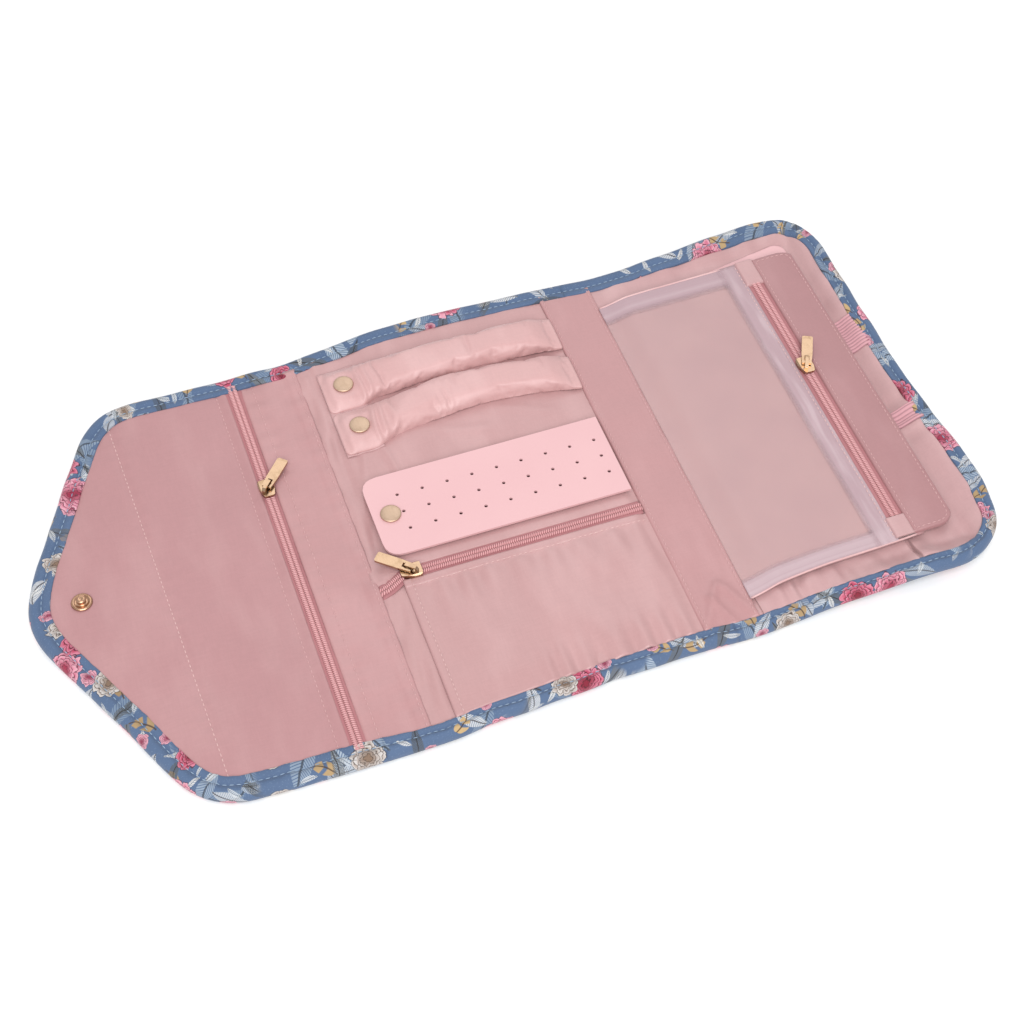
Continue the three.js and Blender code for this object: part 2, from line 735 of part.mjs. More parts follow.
// Half-width, half-height and height of the middle of a ring bar's section at x.
function barSection(x) {
  const ease = THREE.MathUtils.smoothstep;
  const swell = ease(x, BAR_START_X + BAR_TAB_LENGTH, barBody);
  const pinch = ease(x, BAR_END_X - BAR_SLOPE * 1.4, BAR_END_X);
  const round = Math.sqrt(THREE.MathUtils.clamp((x - BAR_START_X + 0.6) / 5, 0, 1));
  const body = THREE.MathUtils.lerp(BAR_TAB_WIDTH, BAR_WIDTH, swell);
  const wide = THREE.MathUtils.lerp(body, BAR_TAB_WIDTH, pinch) * (0.6 + 0.4 * round);
  const high = THREE.MathUtils.lerp(BAR_TAB, BAR_HEIGHT, swell);
  const thin = THREE.MathUtils.lerp(high, BAR_TAB * 1.5, pinch);
  const tabMiddle = BAR_TAB_Z + BAR_TAB / 2;
  const middle = THREE.MathUtils.lerp(tabMiddle, BAR_FOOT + BAR_HEIGHT / 2, swell);
  const foot = THREE.MathUtils.lerp(middle, BAR_FOOT + thin / 2, pinch);
  return [wide / 2, thin / 2, foot];
}

// How far the middle of a bar has bowed at x: a half wave from its tab to its sewn end.
function barBow(x, bow) {
  const bent = BAR_START_X + BAR_TAB_LENGTH;
  const share = THREE.MathUtils.clamp((x - bent) / (BAR_END_X - bent), 0, 1);
  return bow * Math.sin(Math.PI * share);
}

// A closed tube along X whose section is a rounded oblong that changes with x.
function barGeometry(y, bow) {
  const sides = 20;
  const stations = [0, 0.6, 2, 4.5, 9, 14, 18, 20.5, 22.5, 25, 28].map((d) => BAR_START_X + d);
  const last = stations.at(-1);
  const steps = 7;
  for (let i = 1; i <= steps; i++) stations.push(last + ((BAR_END_X - BAR_SLOPE * 1.4 - last) * i) / steps);
  for (let i = 1; i <= 4; i++) stations.push(BAR_END_X - BAR_SLOPE * 1.4 * (1 - i / 4));
  const points = [];
  const triangles = [];
  for (const x of stations) {
    const [wide, high, middle] = barSection(x);
    for (let j = 0; j < sides; j++) {
      const angle = (2 * Math.PI * j) / sides;
      const [c, s] = [Math.cos(angle), Math.sin(angle)];
      const across = Math.sign(c) * Math.abs(c) ** 0.75 * wide;
      const up = Math.sign(s) * Math.abs(s) ** 0.75 * high;
      points.push([x, y + barBow(x, bow) + across, middle + up]);
    }
  }
  for (let i = 0; i + 1 < stations.length; i++)
    for (let j = 0; j < sides; j++) {
      const a = i * sides + j;
      const b = i * sides + ((j + 1) % sides);
      triangles.push([a, b, b + sides], [a, b + sides, a + sides]);
    }
  const end = (stations.length - 1) * sides;
  for (let j = 1; j + 1 < sides; j++) {
    triangles.push([0, j + 1, j], [end, end + j, end + j + 1]);
  }
  return closed(points, triangles);
}

const basePad = BAR_TAB_WIDTH / 2 + BAR_BASE_MARGIN;
const base = box(BASE_X, BASE_X + BAR_BASE_LENGTH, BAR_Y[1] - basePad, BAR_Y[0] + basePad, 2);
add("ring_bar_base", slab(base, ON_LINING, BASE_TOP), LIGHT_SATIN, 0.4);
BAR_Y.forEach((y, i) => {
  const name = `ring_bar_${i + 1}`;
  const hole = drill(BAR_SNAP_X, y, NECK_RADIUS + CLEAR, BAR_TAB_Z - 1, BAR_TAB_Z + BAR_TAB + 1);
  add(name, cut(barGeometry(y, BAR_BOWS[i]), hole), LIGHT_SATIN, 0.4);
  capAndSocket(`${name}_snap_cap`, BAR_SNAP_X, y, BAR_TAB_Z, BAR_TAB);
  stud(`${name}_snap_stud`, BAR_SNAP_X, y, BASE_TOP + CLEAR);
});

// Earring plate
const PLATE_X = SPINE_FOLD_X + PLATE_FROM_FOLD;
const PLATE_END_X = BAR_END_X;
const PLATE_Z = ON_LINING + SNAP_STACK;
const PLATE_SNAP_X = PLATE_X + PLATE_SNAP_INSET;
const plateLow = PLATE_Y - PLATE_WIDTH / 2;
const plateHigh = PLATE_Y + PLATE_WIDTH / 2;
const plateShape = rounded([
  [PLATE_X, plateLow, PLATE_CORNER],
  [PLATE_END_X, plateLow, 0],
  [PLATE_END_X, plateHigh, 0],
  [PLATE_X, plateHigh, PLATE_CORNER],
]);
for (let row = 0; row < HOLE_ROWS; row++)
  for (let column = 0; column < HOLE_COLUMNS; column++) {
    const x = PLATE_END_X - HOLES_FROM_END - column * HOLE_PITCH_X;
    const y = PLATE_Y + (row - (HOLE_ROWS - 1) / 2) * HOLE_PITCH_Y;
    const away = Math.hypot(x - PLATE_SNAP_X, y - PLATE_Y);
    if (away < CAP_RADIUS + HOLE_RADIUS || x < PLATE_X + PLATE_CORNER) continue;
    const hole = new THREE.Path();
    hole.absarc(x, y, HOLE_RADIUS, 0, 2 * Math.PI, true);
    plateShape.holes.push(hole);
  }
const snapHole = new THREE.Path();
snapHole.absarc(PLATE_SNAP_X, PLATE_Y, NECK_RADIUS + CLEAR, 0, 2 * Math.PI, true);
plateShape.holes.push(snapHole);
add("earring_plate", slab(plateShape, PLATE_Z, PLATE_Z + PLATE, 5), PLATE_PINK, 0.6);
capAndSocket("earring_plate_snap_cap", PLATE_SNAP_X, PLATE_Y, PLATE_Z, PLATE);
stud("earring_plate_snap_stud", PLATE_SNAP_X, PLATE_Y, ON_LINING);

// Zipped pocket below the earring plate
const MIDDLE_SLIDER_X = SPINE_FOLD_X + MIDDLE_SLIDER_FROM_FOLD;
zip("middle", MIDDLE_ZIP_HALF, ON_LINING, middleStart, middleEnd, MIDDLE_ZIP_Y, true);
slider("middle", MIDDLE_SLIDER_X, MIDDLE_ZIP_Y, ON_LINING, 0, MIDDLE_TAB_TURN);
const POCKET_X = SPINE_FOLD_X + POCKET_FROM_FOLD;
const pocketTop = MIDDLE_ZIP_Y - MIDDLE_ZIP_HALF - CLEAR;
const pocketSheet = (lift) => (u, v) => {
  const x = POCKET_X + (middleEnd - POCKET_X) * u;
  const y = -INNER_Y + (pocketTop + INNER_Y) * v;
  const fade = v ** 2;
  const wave = POCKET_GATHER * fade * (1 - Math.cos(2 * Math.PI * POCKET_GATHERS * u));
  return [x, y, ON_LINING + lift + wave];
};
const pocketFace = pad(pocketSheet(POCKET_CLOTH), pocketSheet(0), POCKET_GATHERS * 4, 5);
add("middle_pocket_face", pocketFace, LIGHT_SATIN, 0.4);

// End spine

const endSpineInside = plainPanel("end_spine", MIDDLE_FOLD_X, END_FOLD_X);
const endStripStart = MIDDLE_FOLD_X + CUT_BACK;
const endStripEnd = END_FOLD_X - CUT_BACK;
const endStripUnder = below(endSpineInside, LINING);
const endStrip = layer(endStripStart, endStripEnd, straight, endSpineInside, endStripUnder, 6, 8);
add("end_spine_strip", endStrip, DUSTY_ROSE, 0.45);

// End panel

// The flap's stud lands here when the roll is closed.
const SOCKET_X = END_FOLD_X + MIDDLE - (FLAP_FOLD_X - STUD_X);
const SOCKET_DEPTH = 2.6;
const endEdge = edge(endCorners(), 8);
const endInner = inset(endEdge, RIM_WIDTH + CLEAR);
const endHalf = halfWidth(endInner);
const endStart = END_FOLD_X + CUT_BACK;
const endStop = END_X - RIM_WIDTH - CLEAR;
const socketRecess = drill(SOCKET_X, SNAP_Y, RIVET_RADIUS + CLEAR, -1, SOCKET_DEPTH + CLEAR, 20);
const pastFold = box(END_FOLD_X + CLEAR / 2, 2 * END_X, -WIDTH, WIDTH);
const endBlank = solid(slab(new THREE.Shape(endInner), 0, COVER));
const endCover = geometryOf(endBlank.intersect(solid(slab(pastFold, -1, PANEL))));
add("end_cover", cut(endCover, socketRecess), PRINT, 0.85);
const endInside = puff(endStart, endStop, endHalf);
const endLayer = (top, under) => layer(endStart, endStop, endHalf, top, under, 12, 8);
const endFoam = endLayer(below(endInside, LINING + CLEAR), level(COVER + CLEAR));
add("end_padding", cut(endFoam, socketRecess), FOAM, 0.95);
add("end_lining", endLayer(endInside, below(endInside, LINING)), LINING_PINK, 0.4);
add("end_rim", sweep(RIM, endEdge, foldEnd(END_FOLD_X, 1), foldEnd(END_FOLD_X, 1)), PRINT, 0.85);
const socketProfile = [
  [0, SOCKET_DEPTH],
  [0, 1.8],
  [NECK_RADIUS * 1.3, 1.8],
  [NECK_RADIUS * 1.3, 0],
  [RIVET_RADIUS - 0.5, 0],
  [RIVET_RADIUS, 0.5],
  [RIVET_RADIUS, SOCKET_DEPTH - 0.5],
  [RIVET_RADIUS - 0.5, SOCKET_DEPTH],
];
socketProfile.push([0, SOCKET_DEPTH]);
add("end_snap_socket", turned(socketProfile, SOCKET_X, SNAP_Y, 0), GOLD, 0.35, 1);

// Card, elastic bands and gathered pocket under the page
const PAGE_END_X = END_X - PAGE_END_INSET;
const CARD_TOP = ON_LINING + CARD;
const card = box(PAGE_END_X - CARD_WIDTH, PAGE_END_X, CARD_FAR_Y - CARD_LENGTH, CARD_FAR_Y, CARD_CORNER);
add("necklace_card", slab(card, ON_LINING, CARD_TOP), PLATE_PINK, 0.6);

// A ribbed elastic band along X over the card.
function band(name, width, y) {
  const ribs = Math.max(1, Math.round(width / RIB_PITCH));
  const section = [
    [0, CARD_TOP + CLEAR],
    [width, CARD_TOP + CLEAR],
  ];
  for (let i = ribs; i > 0; i--) {
    section.push([(width * i) / ribs, CARD_TOP + CLEAR + BAND - BAND_RIB]);
    section.push([(width * (i - 0.5)) / ribs, CARD_TOP + CLEAR + BAND]);
  }
  section.push([0, CARD_TOP + CLEAR + BAND - BAND_RIB]);
  const path = [endStart + RIM_WIDTH, endStop].map((x) => ({ x, y: y - width / 2, nx: 0, ny: 1 }));
  add(name, sweep(section, path), 0xf0a9b4, 0.7);
}
band("wide_elastic_band", WIDE_BAND, WIDE_BAND_Y);
band("narrow_elastic_band", NARROW_BAND, NARROW_BAND_Y);

const puckerSheet = (lift) => (u, v) => {
  const x = endStart + CLEAR + PUCKER_POCKET * u;
  const y = -INNER_Y + PUCKER_POCKET_DEPTH * v;
  const wave = PUCKER * (0.35 + 0.65 * v) * (1 - Math.cos(2 * Math.PI * PUCKERS * u)) * 0.5;
  return [x, y, ON_LINING + lift + wave];
};
const puckers = pad(puckerSheet(POCKET_CLOTH), puckerSheet(0), PUCKERS * 4, 4);
add("necklace_pocket", puckers, LINING_PINK, 0.4);

// Page

const PAGE_START_X = endStart + CLEAR;
const PAGE_Z = PANEL + PAGE_LIFT;
const PAGE_TOP = PAGE_Z + PAGE_SHEET;
const PAGE_FACE = PAGE_TOP + CLEAR;
const STRIP_X = PAGE_END_X - PAGE_STRIP;
const PAGE_ZIP_X = STRIP_X - CLEAR - PAGE_ZIP_HALF;
const BORDER_END_X = PAGE_ZIP_X - PAGE_ZIP_HALF - CLEAR;
const pageY = INNER_Y - PAGE_FROM_EDGE;
const zipY = pageY - ZIP_TAB - CLEAR;
const pageCorners = (x0, x1) => [
  [x0, -pageY, 0],
  [x1, -pageY, PAGE_CORNER],
  [x1, pageY, PAGE_CORNER * 0.4],
  [x0, pageY, 0],
];
add("page_back", slab(rounded(pageCorners(PAGE_START_X, PAGE_END_X)), PAGE_Z, PAGE_TOP), DUSTY_ROSE, 0.5);
const frame = rounded([
  [PAGE_START_X, -pageY, 0],
  [BORDER_END_X, -pageY, 0],
  [BORDER_END_X, pageY, 0],
  [PAGE_START_X, pageY, 0],
  [PAGE_START_X, pageY - PAGE_BORDER, 0],
  [BORDER_END_X - PAGE_BORDER, pageY - PAGE_BORDER, 0],
  [BORDER_END_X - PAGE_BORDER, PAGE_BORDER - pageY, 0],
  [PAGE_START_X, PAGE_BORDER - pageY, 0],
]);
add("page_border", slab(frame, PAGE_FACE, PAGE_FACE + PAGE_BORDER_CLOTH), 0xd9c3cb, 0.35);
const windowY = pageY - PAGE_BORDER - CLEAR;
const pane = box(PAGE_START_X, BORDER_END_X - PAGE_BORDER - CLEAR, -windowY, windowY);
add("page_window", slab(pane, PAGE_FACE, PAGE_FACE + WINDOW), 0xcfb0b4, 0.25);
zip("page", PAGE_ZIP_HALF, PAGE_FACE, -zipY, zipY, PAGE_ZIP_X, false);
for (const [end, side] of [
  ["far", 1],
  ["near", -1],
]) {
  const [low, high] = [zipY + CLEAR, pageY].map((y) => y * side).sort((a, b) => a - b);
  const tab = box(PAGE_ZIP_X - PAGE_ZIP_HALF, PAGE_ZIP_X + PAGE_ZIP_HALF, low, high);
  add(`page_zip_tab_${end}`, slab(tab, PAGE_FACE, PAGE_FACE + COIL_HEIGHT), LINING_PINK, 0.4);
}
const strip = rounded(pageCorners(STRIP_X, PAGE_END_X));
add("page_end_strip", slab(strip, PAGE_FACE, PAGE_FACE + PAGE_STRIP_CLOTH), DUSTY_ROSE, 0.45);
slider("page", PAGE_ZIP_X, PAGE_SLIDER_Y, PAGE_FACE, 90, PAGE_TAB_TURN);

export default roll;
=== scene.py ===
import json
import math

import bpy
import numpy as np
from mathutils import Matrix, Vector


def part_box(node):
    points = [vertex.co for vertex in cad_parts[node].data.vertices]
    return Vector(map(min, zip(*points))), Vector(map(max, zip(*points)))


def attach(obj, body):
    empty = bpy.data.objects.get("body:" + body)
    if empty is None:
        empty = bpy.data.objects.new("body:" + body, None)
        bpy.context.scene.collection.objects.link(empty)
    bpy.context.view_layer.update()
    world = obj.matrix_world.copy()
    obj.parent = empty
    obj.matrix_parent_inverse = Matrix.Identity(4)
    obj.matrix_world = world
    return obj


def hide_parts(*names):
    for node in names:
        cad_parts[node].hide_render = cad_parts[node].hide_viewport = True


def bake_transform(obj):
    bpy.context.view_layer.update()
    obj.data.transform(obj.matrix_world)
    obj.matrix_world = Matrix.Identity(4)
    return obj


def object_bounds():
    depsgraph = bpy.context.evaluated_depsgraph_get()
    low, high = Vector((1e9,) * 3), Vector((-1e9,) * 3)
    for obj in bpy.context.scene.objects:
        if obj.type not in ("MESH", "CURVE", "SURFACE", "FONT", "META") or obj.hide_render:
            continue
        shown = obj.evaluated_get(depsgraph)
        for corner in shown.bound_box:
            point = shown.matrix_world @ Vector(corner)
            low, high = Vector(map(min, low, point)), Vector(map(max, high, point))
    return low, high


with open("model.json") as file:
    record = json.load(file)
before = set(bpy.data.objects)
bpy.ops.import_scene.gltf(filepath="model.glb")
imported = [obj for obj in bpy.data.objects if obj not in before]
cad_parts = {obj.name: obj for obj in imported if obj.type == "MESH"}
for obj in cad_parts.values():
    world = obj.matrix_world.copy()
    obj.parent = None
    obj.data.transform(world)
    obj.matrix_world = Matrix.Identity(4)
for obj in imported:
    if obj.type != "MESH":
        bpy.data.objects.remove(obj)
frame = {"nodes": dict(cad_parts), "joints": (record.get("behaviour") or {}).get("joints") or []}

CAD_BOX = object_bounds()
MM = 0.001

# The frame's folds and the outline
FOLDS = {j["name"]: j for j in frame["joints"]}
FLAP_FOLD = FOLDS["flap_fold"]["pos_m"][0] / MM
SPINE_FOLD = FOLDS["flap_spine_fold"]["pos_m"][0] / MM
MIDDLE_FOLD = FOLDS["end_spine_fold"]["pos_m"][0] / MM
END_FOLD = FOLDS["end_fold"]["pos_m"][0] / MM
FOLD_LINES = (FLAP_FOLD, SPINE_FOLD, MIDDLE_FOLD, END_FOLD)
FOLD_REACH = 4.0
HALF = CAD_BOX[1].y / MM
TIP_X = CAD_BOX[0].x / MM
END_X = CAD_BOX[1].x / MM
FLAP_STRAIGHT = 57
FLAP_SHOULDER = FLAP_FOLD - FLAP_STRAIGHT
FLAP_CORNER = 34
TIP_RADIUS = 45
END_CORNER = 27
RIM_WIDTH = 7.0
PANEL = 7.0
CROWN = 0.7
FOAM_GIVE = 0.16
CLOTH = 0.6
# where cloth tucked under the rim ends, in from the outline: the cover, then the satin; half the width of a
# straight satin sheet and of a seam across the roll; and the width that such a sheet is cut to
COVER_INSET = RIM_WIDTH - 0.6
SATIN_INSET = 6.6
SATIN_HALF = 101.4
SEAM_HALF = 100.5
CUT_WIDTH = 203
# where the layers that run through the whole roll are divided, each part crossing one fold
FLAP_CUT = (FLAP_FOLD + SPINE_FOLD) / 2
MIDDLE_CUT = (SPINE_FOLD + MIDDLE_FOLD) / 2
END_CUT = (MIDDLE_FOLD + END_FOLD) / 2
# where the page is sewn down, and how far past that it bends
PAGE_SEAM = END_FOLD - 0.4
PAGE_BEND = (0.5, 6.0)


# Numbers and forms

def box(node):
    """The lowest and the highest corner of a node's box, in mm."""
    return [np.array(corner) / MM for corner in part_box(node)]


def smooth(t, reach=1.0):
    """0 up to t = 0 and 1 from t = reach, with a smooth step between them."""
    t = np.clip(t / reach, 0, 1)
    return t * t * (3 - 2 * t)


def bell(t, width):
    """1 at t = 0, falling away to both sides in a bell curve."""
    return np.exp(-(t / width) ** 2)


def ripple(x, y, wave, seed, waves=7):
    """Soft noise from -1 to 1: the mean of sine waves in seeded directions, with lengths near wave."""
    rng = np.random.RandomState(seed)
    total = 0
    for _ in range(waves):
        turn, phase = rng.uniform(0, 2 * math.pi, 2)
        length = wave * rng.uniform(0.7, 1.5)
        total = total + np.sin((x * math.cos(turn) + y * math.sin(turn)) * 2 * math.pi / length + phase)
    return total / waves * 1.6


def ring_of(count):
    """Angles evenly round a full turn."""
    return np.arange(count) * 2 * math.pi / count


def steps(low, high, pitch, hems=(0.0, 0.25, 0.6, 1.1)):
    """Places from low to high, about pitch apart, and closer together beside both ends."""
    inner = np.linspace(low + hems[-1] + pitch / 2, high - hems[-1] - pitch / 2,
                        max(2, round((high - low) / pitch)))
    return np.concatenate([low + np.array(hems), inner, high - np.array(hems)[::-1]])


def hem(distance, radius):
    """The share of a sheet's thickness at a distance from its edge: a quarter circle, then 1."""
    t = np.clip(distance / radius, 0, 1)
    return np.sqrt(np.clip(1 - (1 - t) ** 2, 0, 1))


def through(points, count):
    """A closed smooth curve through points: cubic Hermite spans with slopes from the neighbours."""
    p = np.asarray(points, float)
    t = np.linspace(0, len(p), count, endpoint=False)
    i = t.astype(int)
    f = (t - i)[:, None]
    a, b = p[i % len(p)], p[(i + 1) % len(p)]
    sa = (b - p[(i - 1) % len(p)]) / 2
    sb = (p[(i + 2) % len(p)] - a) / 2
    return ((2 * f**3 - 3 * f**2 + 1) * a + (f**3 - 2 * f**2 + f) * sa
            + (3 * f**2 - 2 * f**3) * b + (f**3 - f**2) * sb)


def evenly(line, pitch):
    """A polyline resampled at even distances of about pitch, both ends kept."""
    line = np.asarray(line, float)
    run = np.concatenate([[0], np.cumsum(np.linalg.norm(np.diff(line, axis=0), axis=1))])
    at = np.linspace(0, run[-1], max(2, round(run[-1] / pitch) + 1))
    return np.stack([np.interp(at, run, line[:, k]) for k in range(line.shape[1])], axis=1)


def rounded(corners, pitch=1.5):
    """A path through corners (x, y, radius), each turned by a quadratic curve that leaves and joins the
    sides where a circle of that radius would touch them."""
    c = np.array([k[:2] for k in corners], float)
    line = [c[0]]
    t = np.linspace(0, 1, 25)[:, None]
    for i in range(1, len(c) - 1):
        a, b = c[i - 1] - c[i], c[i + 1] - c[i]
        a, b = a / np.linalg.norm(a), b / np.linalg.norm(b)
        reach = corners[i][2] / math.tan(math.acos(float(a @ b)) / 2)
        start, end = c[i] + a * reach, c[i] + b * reach
        line.extend((1 - t) ** 2 * start + 2 * t * (1 - t) * c[i] + t * t * end)
    line.append(c[-1])
    return evenly(line, pitch)


def inward(path):
    """Unit normals to the left of a path, which is the inside of the roll's outline."""
    way = np.gradient(path, axis=0)
    way /= np.linalg.norm(way, axis=1)[:, None]
    return np.stack([-way[:, 1], way[:, 0]], axis=1)


def tip_corner():
    """The x of the flap's sharp tip, found by repetition, whose rounding ends at the frame's TIP_X."""
    tip = TIP_X
    for _ in range(30):
        half = math.atan2(HALF, FLAP_SHOULDER - tip)
        tip = TIP_X - TIP_RADIUS * math.cos(half) ** 2 / math.sin(half) / 2
    return tip


FLAP_EDGE = rounded([(FLAP_CUT, HALF, 0), (FLAP_SHOULDER, HALF, FLAP_CORNER), (tip_corner(), 0, TIP_RADIUS),
                     (FLAP_SHOULDER, -HALF, FLAP_CORNER), (FLAP_CUT, -HALF, 0)])
END_EDGE = rounded([(END_CUT, -HALF, 0), (END_X, -HALF, END_CORNER), (END_X, HALF, END_CORNER),
                    (END_CUT, HALF, 0)])
INNER_TIP = float((FLAP_EDGE + inward(FLAP_EDGE) * COVER_INSET)[:, 0].min()) + 0.2
INNER_END = END_X - COVER_INSET


def half_width(x, inset):
    """Half the width of the roll at x, measured a distance inset inside its outline."""
    flap = (FLAP_EDGE + inward(FLAP_EDGE) * inset)[: len(FLAP_EDGE) // 2 + 1]
    end = (END_EDGE + inward(END_EDGE) * inset)[len(END_EDGE) // 2:]
    flap, end = flap[np.argsort(flap[:, 0])], end[np.argsort(end[:, 0])]
    return np.minimum(np.interp(x, flap[:, 0], flap[:, 1]), np.interp(x, end[:, 0], end[:, 1]))


# how far the sides stand from straight as the roll lies open, at places along X and along Y
FAR_SIDE = ([-203, -60, -40, -10, 12, 45, 68, 85, 105, 135, 165, 203],
            [-1.7, -2.0, 2.2, 5.0, 5.6, 4.2, 3.0, 1.2, 2.4, 3.4, 5.0, 5.6])
NEAR_SIDE = ([-203, -60, -30, 0, 30, 55, 85, 102, 118, 150, 203],
             [-1.0, -2.0, 1.0, 2.0, 3.6, 4.2, 2.8, 4.4, 5.8, 4.6, 4.8])
END_SIDE = ([-108, -92, -70, -48, -28, 0, 108], [-1.4, 0.2, 4.2, 3.8, 1.2, -1.2, -1.2])
EASED_OVER = 24
# where that begins and over what distance it grows, for the long sides and for the end; the same for the curl
# of the end panel's margins, along and across the roll, and for the lean of the flap's tip
SIDE_FROM, SIDE_OVER = 60, 42
END_FROM, END_OVER = 186, 10
CURL_FROM, CURL_OVER = 96, 75
MARGIN_FROM, MARGIN_OVER = 92, 11
TIP_FROM, TIP_OVER = FLAP_FOLD - 14, 75
END_CURL = 5.0
TIP_SHIFT = 2.4


def eased(table, at):
    """A smooth curve through a table: straight lines between its places, averaged over EASED_OVER."""
    shifts = np.linspace(-EASED_OVER / 2, EASED_OVER / 2, 9)
    return sum(np.interp(at + shift, *table) for shift in shifts) / len(shifts)


def settle(points):
    """Points of the flat roll as it lies: its sides waver in and out, fading to nothing inside, the flap's
    tip leans to the far side, and the end panel's margins curl up outside the page."""
    p = np.array(points, float)
    x, y = p[..., 0].copy(), p[..., 1].copy()
    side = smooth(np.abs(y) - SIDE_FROM, SIDE_OVER)
    end = smooth(x - END_FROM, END_OVER)
    curl = smooth(x - CURL_FROM, CURL_OVER) * np.maximum(smooth(np.abs(y) - MARGIN_FROM, MARGIN_OVER), end)
    p[..., 0] += end * eased(END_SIDE, y)
    p[..., 1] += side * np.where(y > 0, eased(FAR_SIDE, x), eased(NEAR_SIDE, x))
    p[..., 1] += TIP_SHIFT * smooth(TIP_FROM - x, TIP_OVER)
    p[..., 2] += END_CURL * curl
    return p


def inside(x, y):
    """The height of the satin: each panel is crowned, drawn in at its folds and at the rim, and a little
    uneven where the foam gives."""
    ends = [TIP_X + RIM_WIDTH, *FOLD_LINES, END_X - RIM_WIDTH]
    i = np.clip(np.searchsorted(ends, x) - 1, 0, len(ends) - 2)
    low, high = np.take(ends, i), np.take(ends, i + 1)
    along = np.clip((2 * x - low - high) / (high - low), -1, 1)
    across = np.clip(y / np.maximum(half_width(x, RIM_WIDTH), 1), -1, 1)
    crown = (1 - along**4) * (1 - across**4)
    return PANEL - CROWN * (1 - crown) + FOAM_GIVE * crown * ripple(x, y, 46, 11)


# Meshes

def quads(rows, columns, first=0, around=False):
    """Corner numbers of the quads of a grid of points, the last column joined to the first if around."""
    i = np.arange(rows - 1)[:, None]
    j = np.arange(columns if around else columns - 1)[None, :]
    k = (j + 1) % columns
    return first + np.stack([i * columns + j, (i + 1) * columns + j, (i + 1) * columns + k, i * columns + k],
                            axis=-1).reshape(-1, 4)


def piece(name, points, faces, material, uv=None):
    """A smooth mesh object from points in mm and arrays of faces, turned so that it faces out. uv, in mm,
    has a row per point."""
    points = np.asarray(points, float).reshape(-1, 3)
    volume = 0.0
    for f in faces:
        for k in range(1, f.shape[1] - 1):
            a, b, c = points[f[:, 0]], points[f[:, k]], points[f[:, k + 1]]
            volume += float((a * np.cross(b, c)).sum())
    if volume < 0:
        faces = [f[:, ::-1] for f in faces]
    corners = np.concatenate([f.ravel() for f in faces]).astype(np.int32)
    totals = np.concatenate([np.full(len(f), f.shape[1]) for f in faces]).astype(np.int32)
    mesh = bpy.data.meshes.new(name)
    mesh.vertices.add(len(points))
    mesh.vertices.foreach_set("co", (points * MM).astype(np.float32).ravel())
    mesh.loops.add(len(corners))
    mesh.loops.foreach_set("vertex_index", corners)
    mesh.polygons.add(len(totals))
    mesh.polygons.foreach_set("loop_start", np.concatenate([[0], np.cumsum(totals)[:-1]]).astype(np.int32))
    mesh.polygons.foreach_set("loop_total", totals)
    if uv is not None:
        layer = mesh.uv_layers.new(name="cloth")
        flat = np.asarray(uv, float).reshape(-1, 2)[corners] * MM
        layer.data.foreach_set("uv", flat.astype(np.float32).ravel())
    mesh.update(calc_edges=True)
    mesh.validate()
    mesh.shade_smooth()
    mesh.materials.append(material)
    made = bpy.data.objects.new(name, mesh)
    bpy.context.scene.collection.objects.link(made)
    return made


def shell(name, top, under, material, uv=None):
    """A closed sheet: a grid for its top and one for its underside, joined round their border."""
    rows, columns = top.shape[:2]
    count = rows * columns
    n = np.arange(count).reshape(rows, columns)
    border = np.concatenate([n[:-1, 0], n[-1, :-1], n[:0:-1, -1], n[0, :0:-1]])
    after = np.roll(border, -1)
    wall = np.stack([border, border + count, after + count, after], axis=1)
    faces = [quads(rows, columns), quads(rows, columns, count)[:, ::-1], wall]
    points = np.concatenate([top.reshape(-1, 3), under.reshape(-1, 3)])
    return piece(name, points, faces, material, points[:, :2] if uv is None else uv)


def tube_faces(rows, columns):
    """The faces of a tube: quads round each pair of rings, and a flat cap at each end."""
    last = np.arange(columns) + (rows - 1) * columns
    return [quads(rows, columns, around=True), np.arange(columns)[None], last[None, ::-1]]


def tube(name, rings, material, uv=None):
    """A closed tube: rings of points one after another, with a flat cap at each end."""
    return piece(name, rings, tube_faces(*rings.shape[:2]), material, uv)


TURNED_SIDES = 40


def turned(name, profile, at, material):
    """A turned piece: a profile of (radius, height) from its axis round to its axis, carried round at."""
    p = np.array(profile, float)
    sides = TURNED_SIDES
    turn = ring_of(sides)
    ring = np.stack([np.outer(p[1:-1, 0], np.cos(turn)), np.outer(p[1:-1, 0], np.sin(turn)),
                     np.repeat(p[1:-1, 1:2], sides, axis=1)], axis=-1)
    rows = len(p) - 2
    points = np.concatenate([ring.reshape(-1, 3), [[0, 0, p[0, 1]], [0, 0, p[-1, 1]]]]) + np.array(at)
    j = np.arange(sides)
    k = (j + 1) % sides
    last = (rows - 1) * sides
    first = np.stack([j, k, np.full(sides, rows * sides)], axis=1)
    final = np.stack([k + last, j + last, np.full(sides, rows * sides + 1)], axis=1)
    return piece(name, points, [quads(rows, sides, around=True), first, final], material)


STITCH_WIDTH, STITCH_HEIGHT = 0.45, 0.36
# a stitch from end to end: places along it, as shares of its length, and how thick it is there
STITCH_ALONG = np.array([-0.5, -0.3, 0.0, 0.3, 0.5])
STITCH_THICK = np.array([0.25, 0.85, 1.0, 0.85, 0.25])


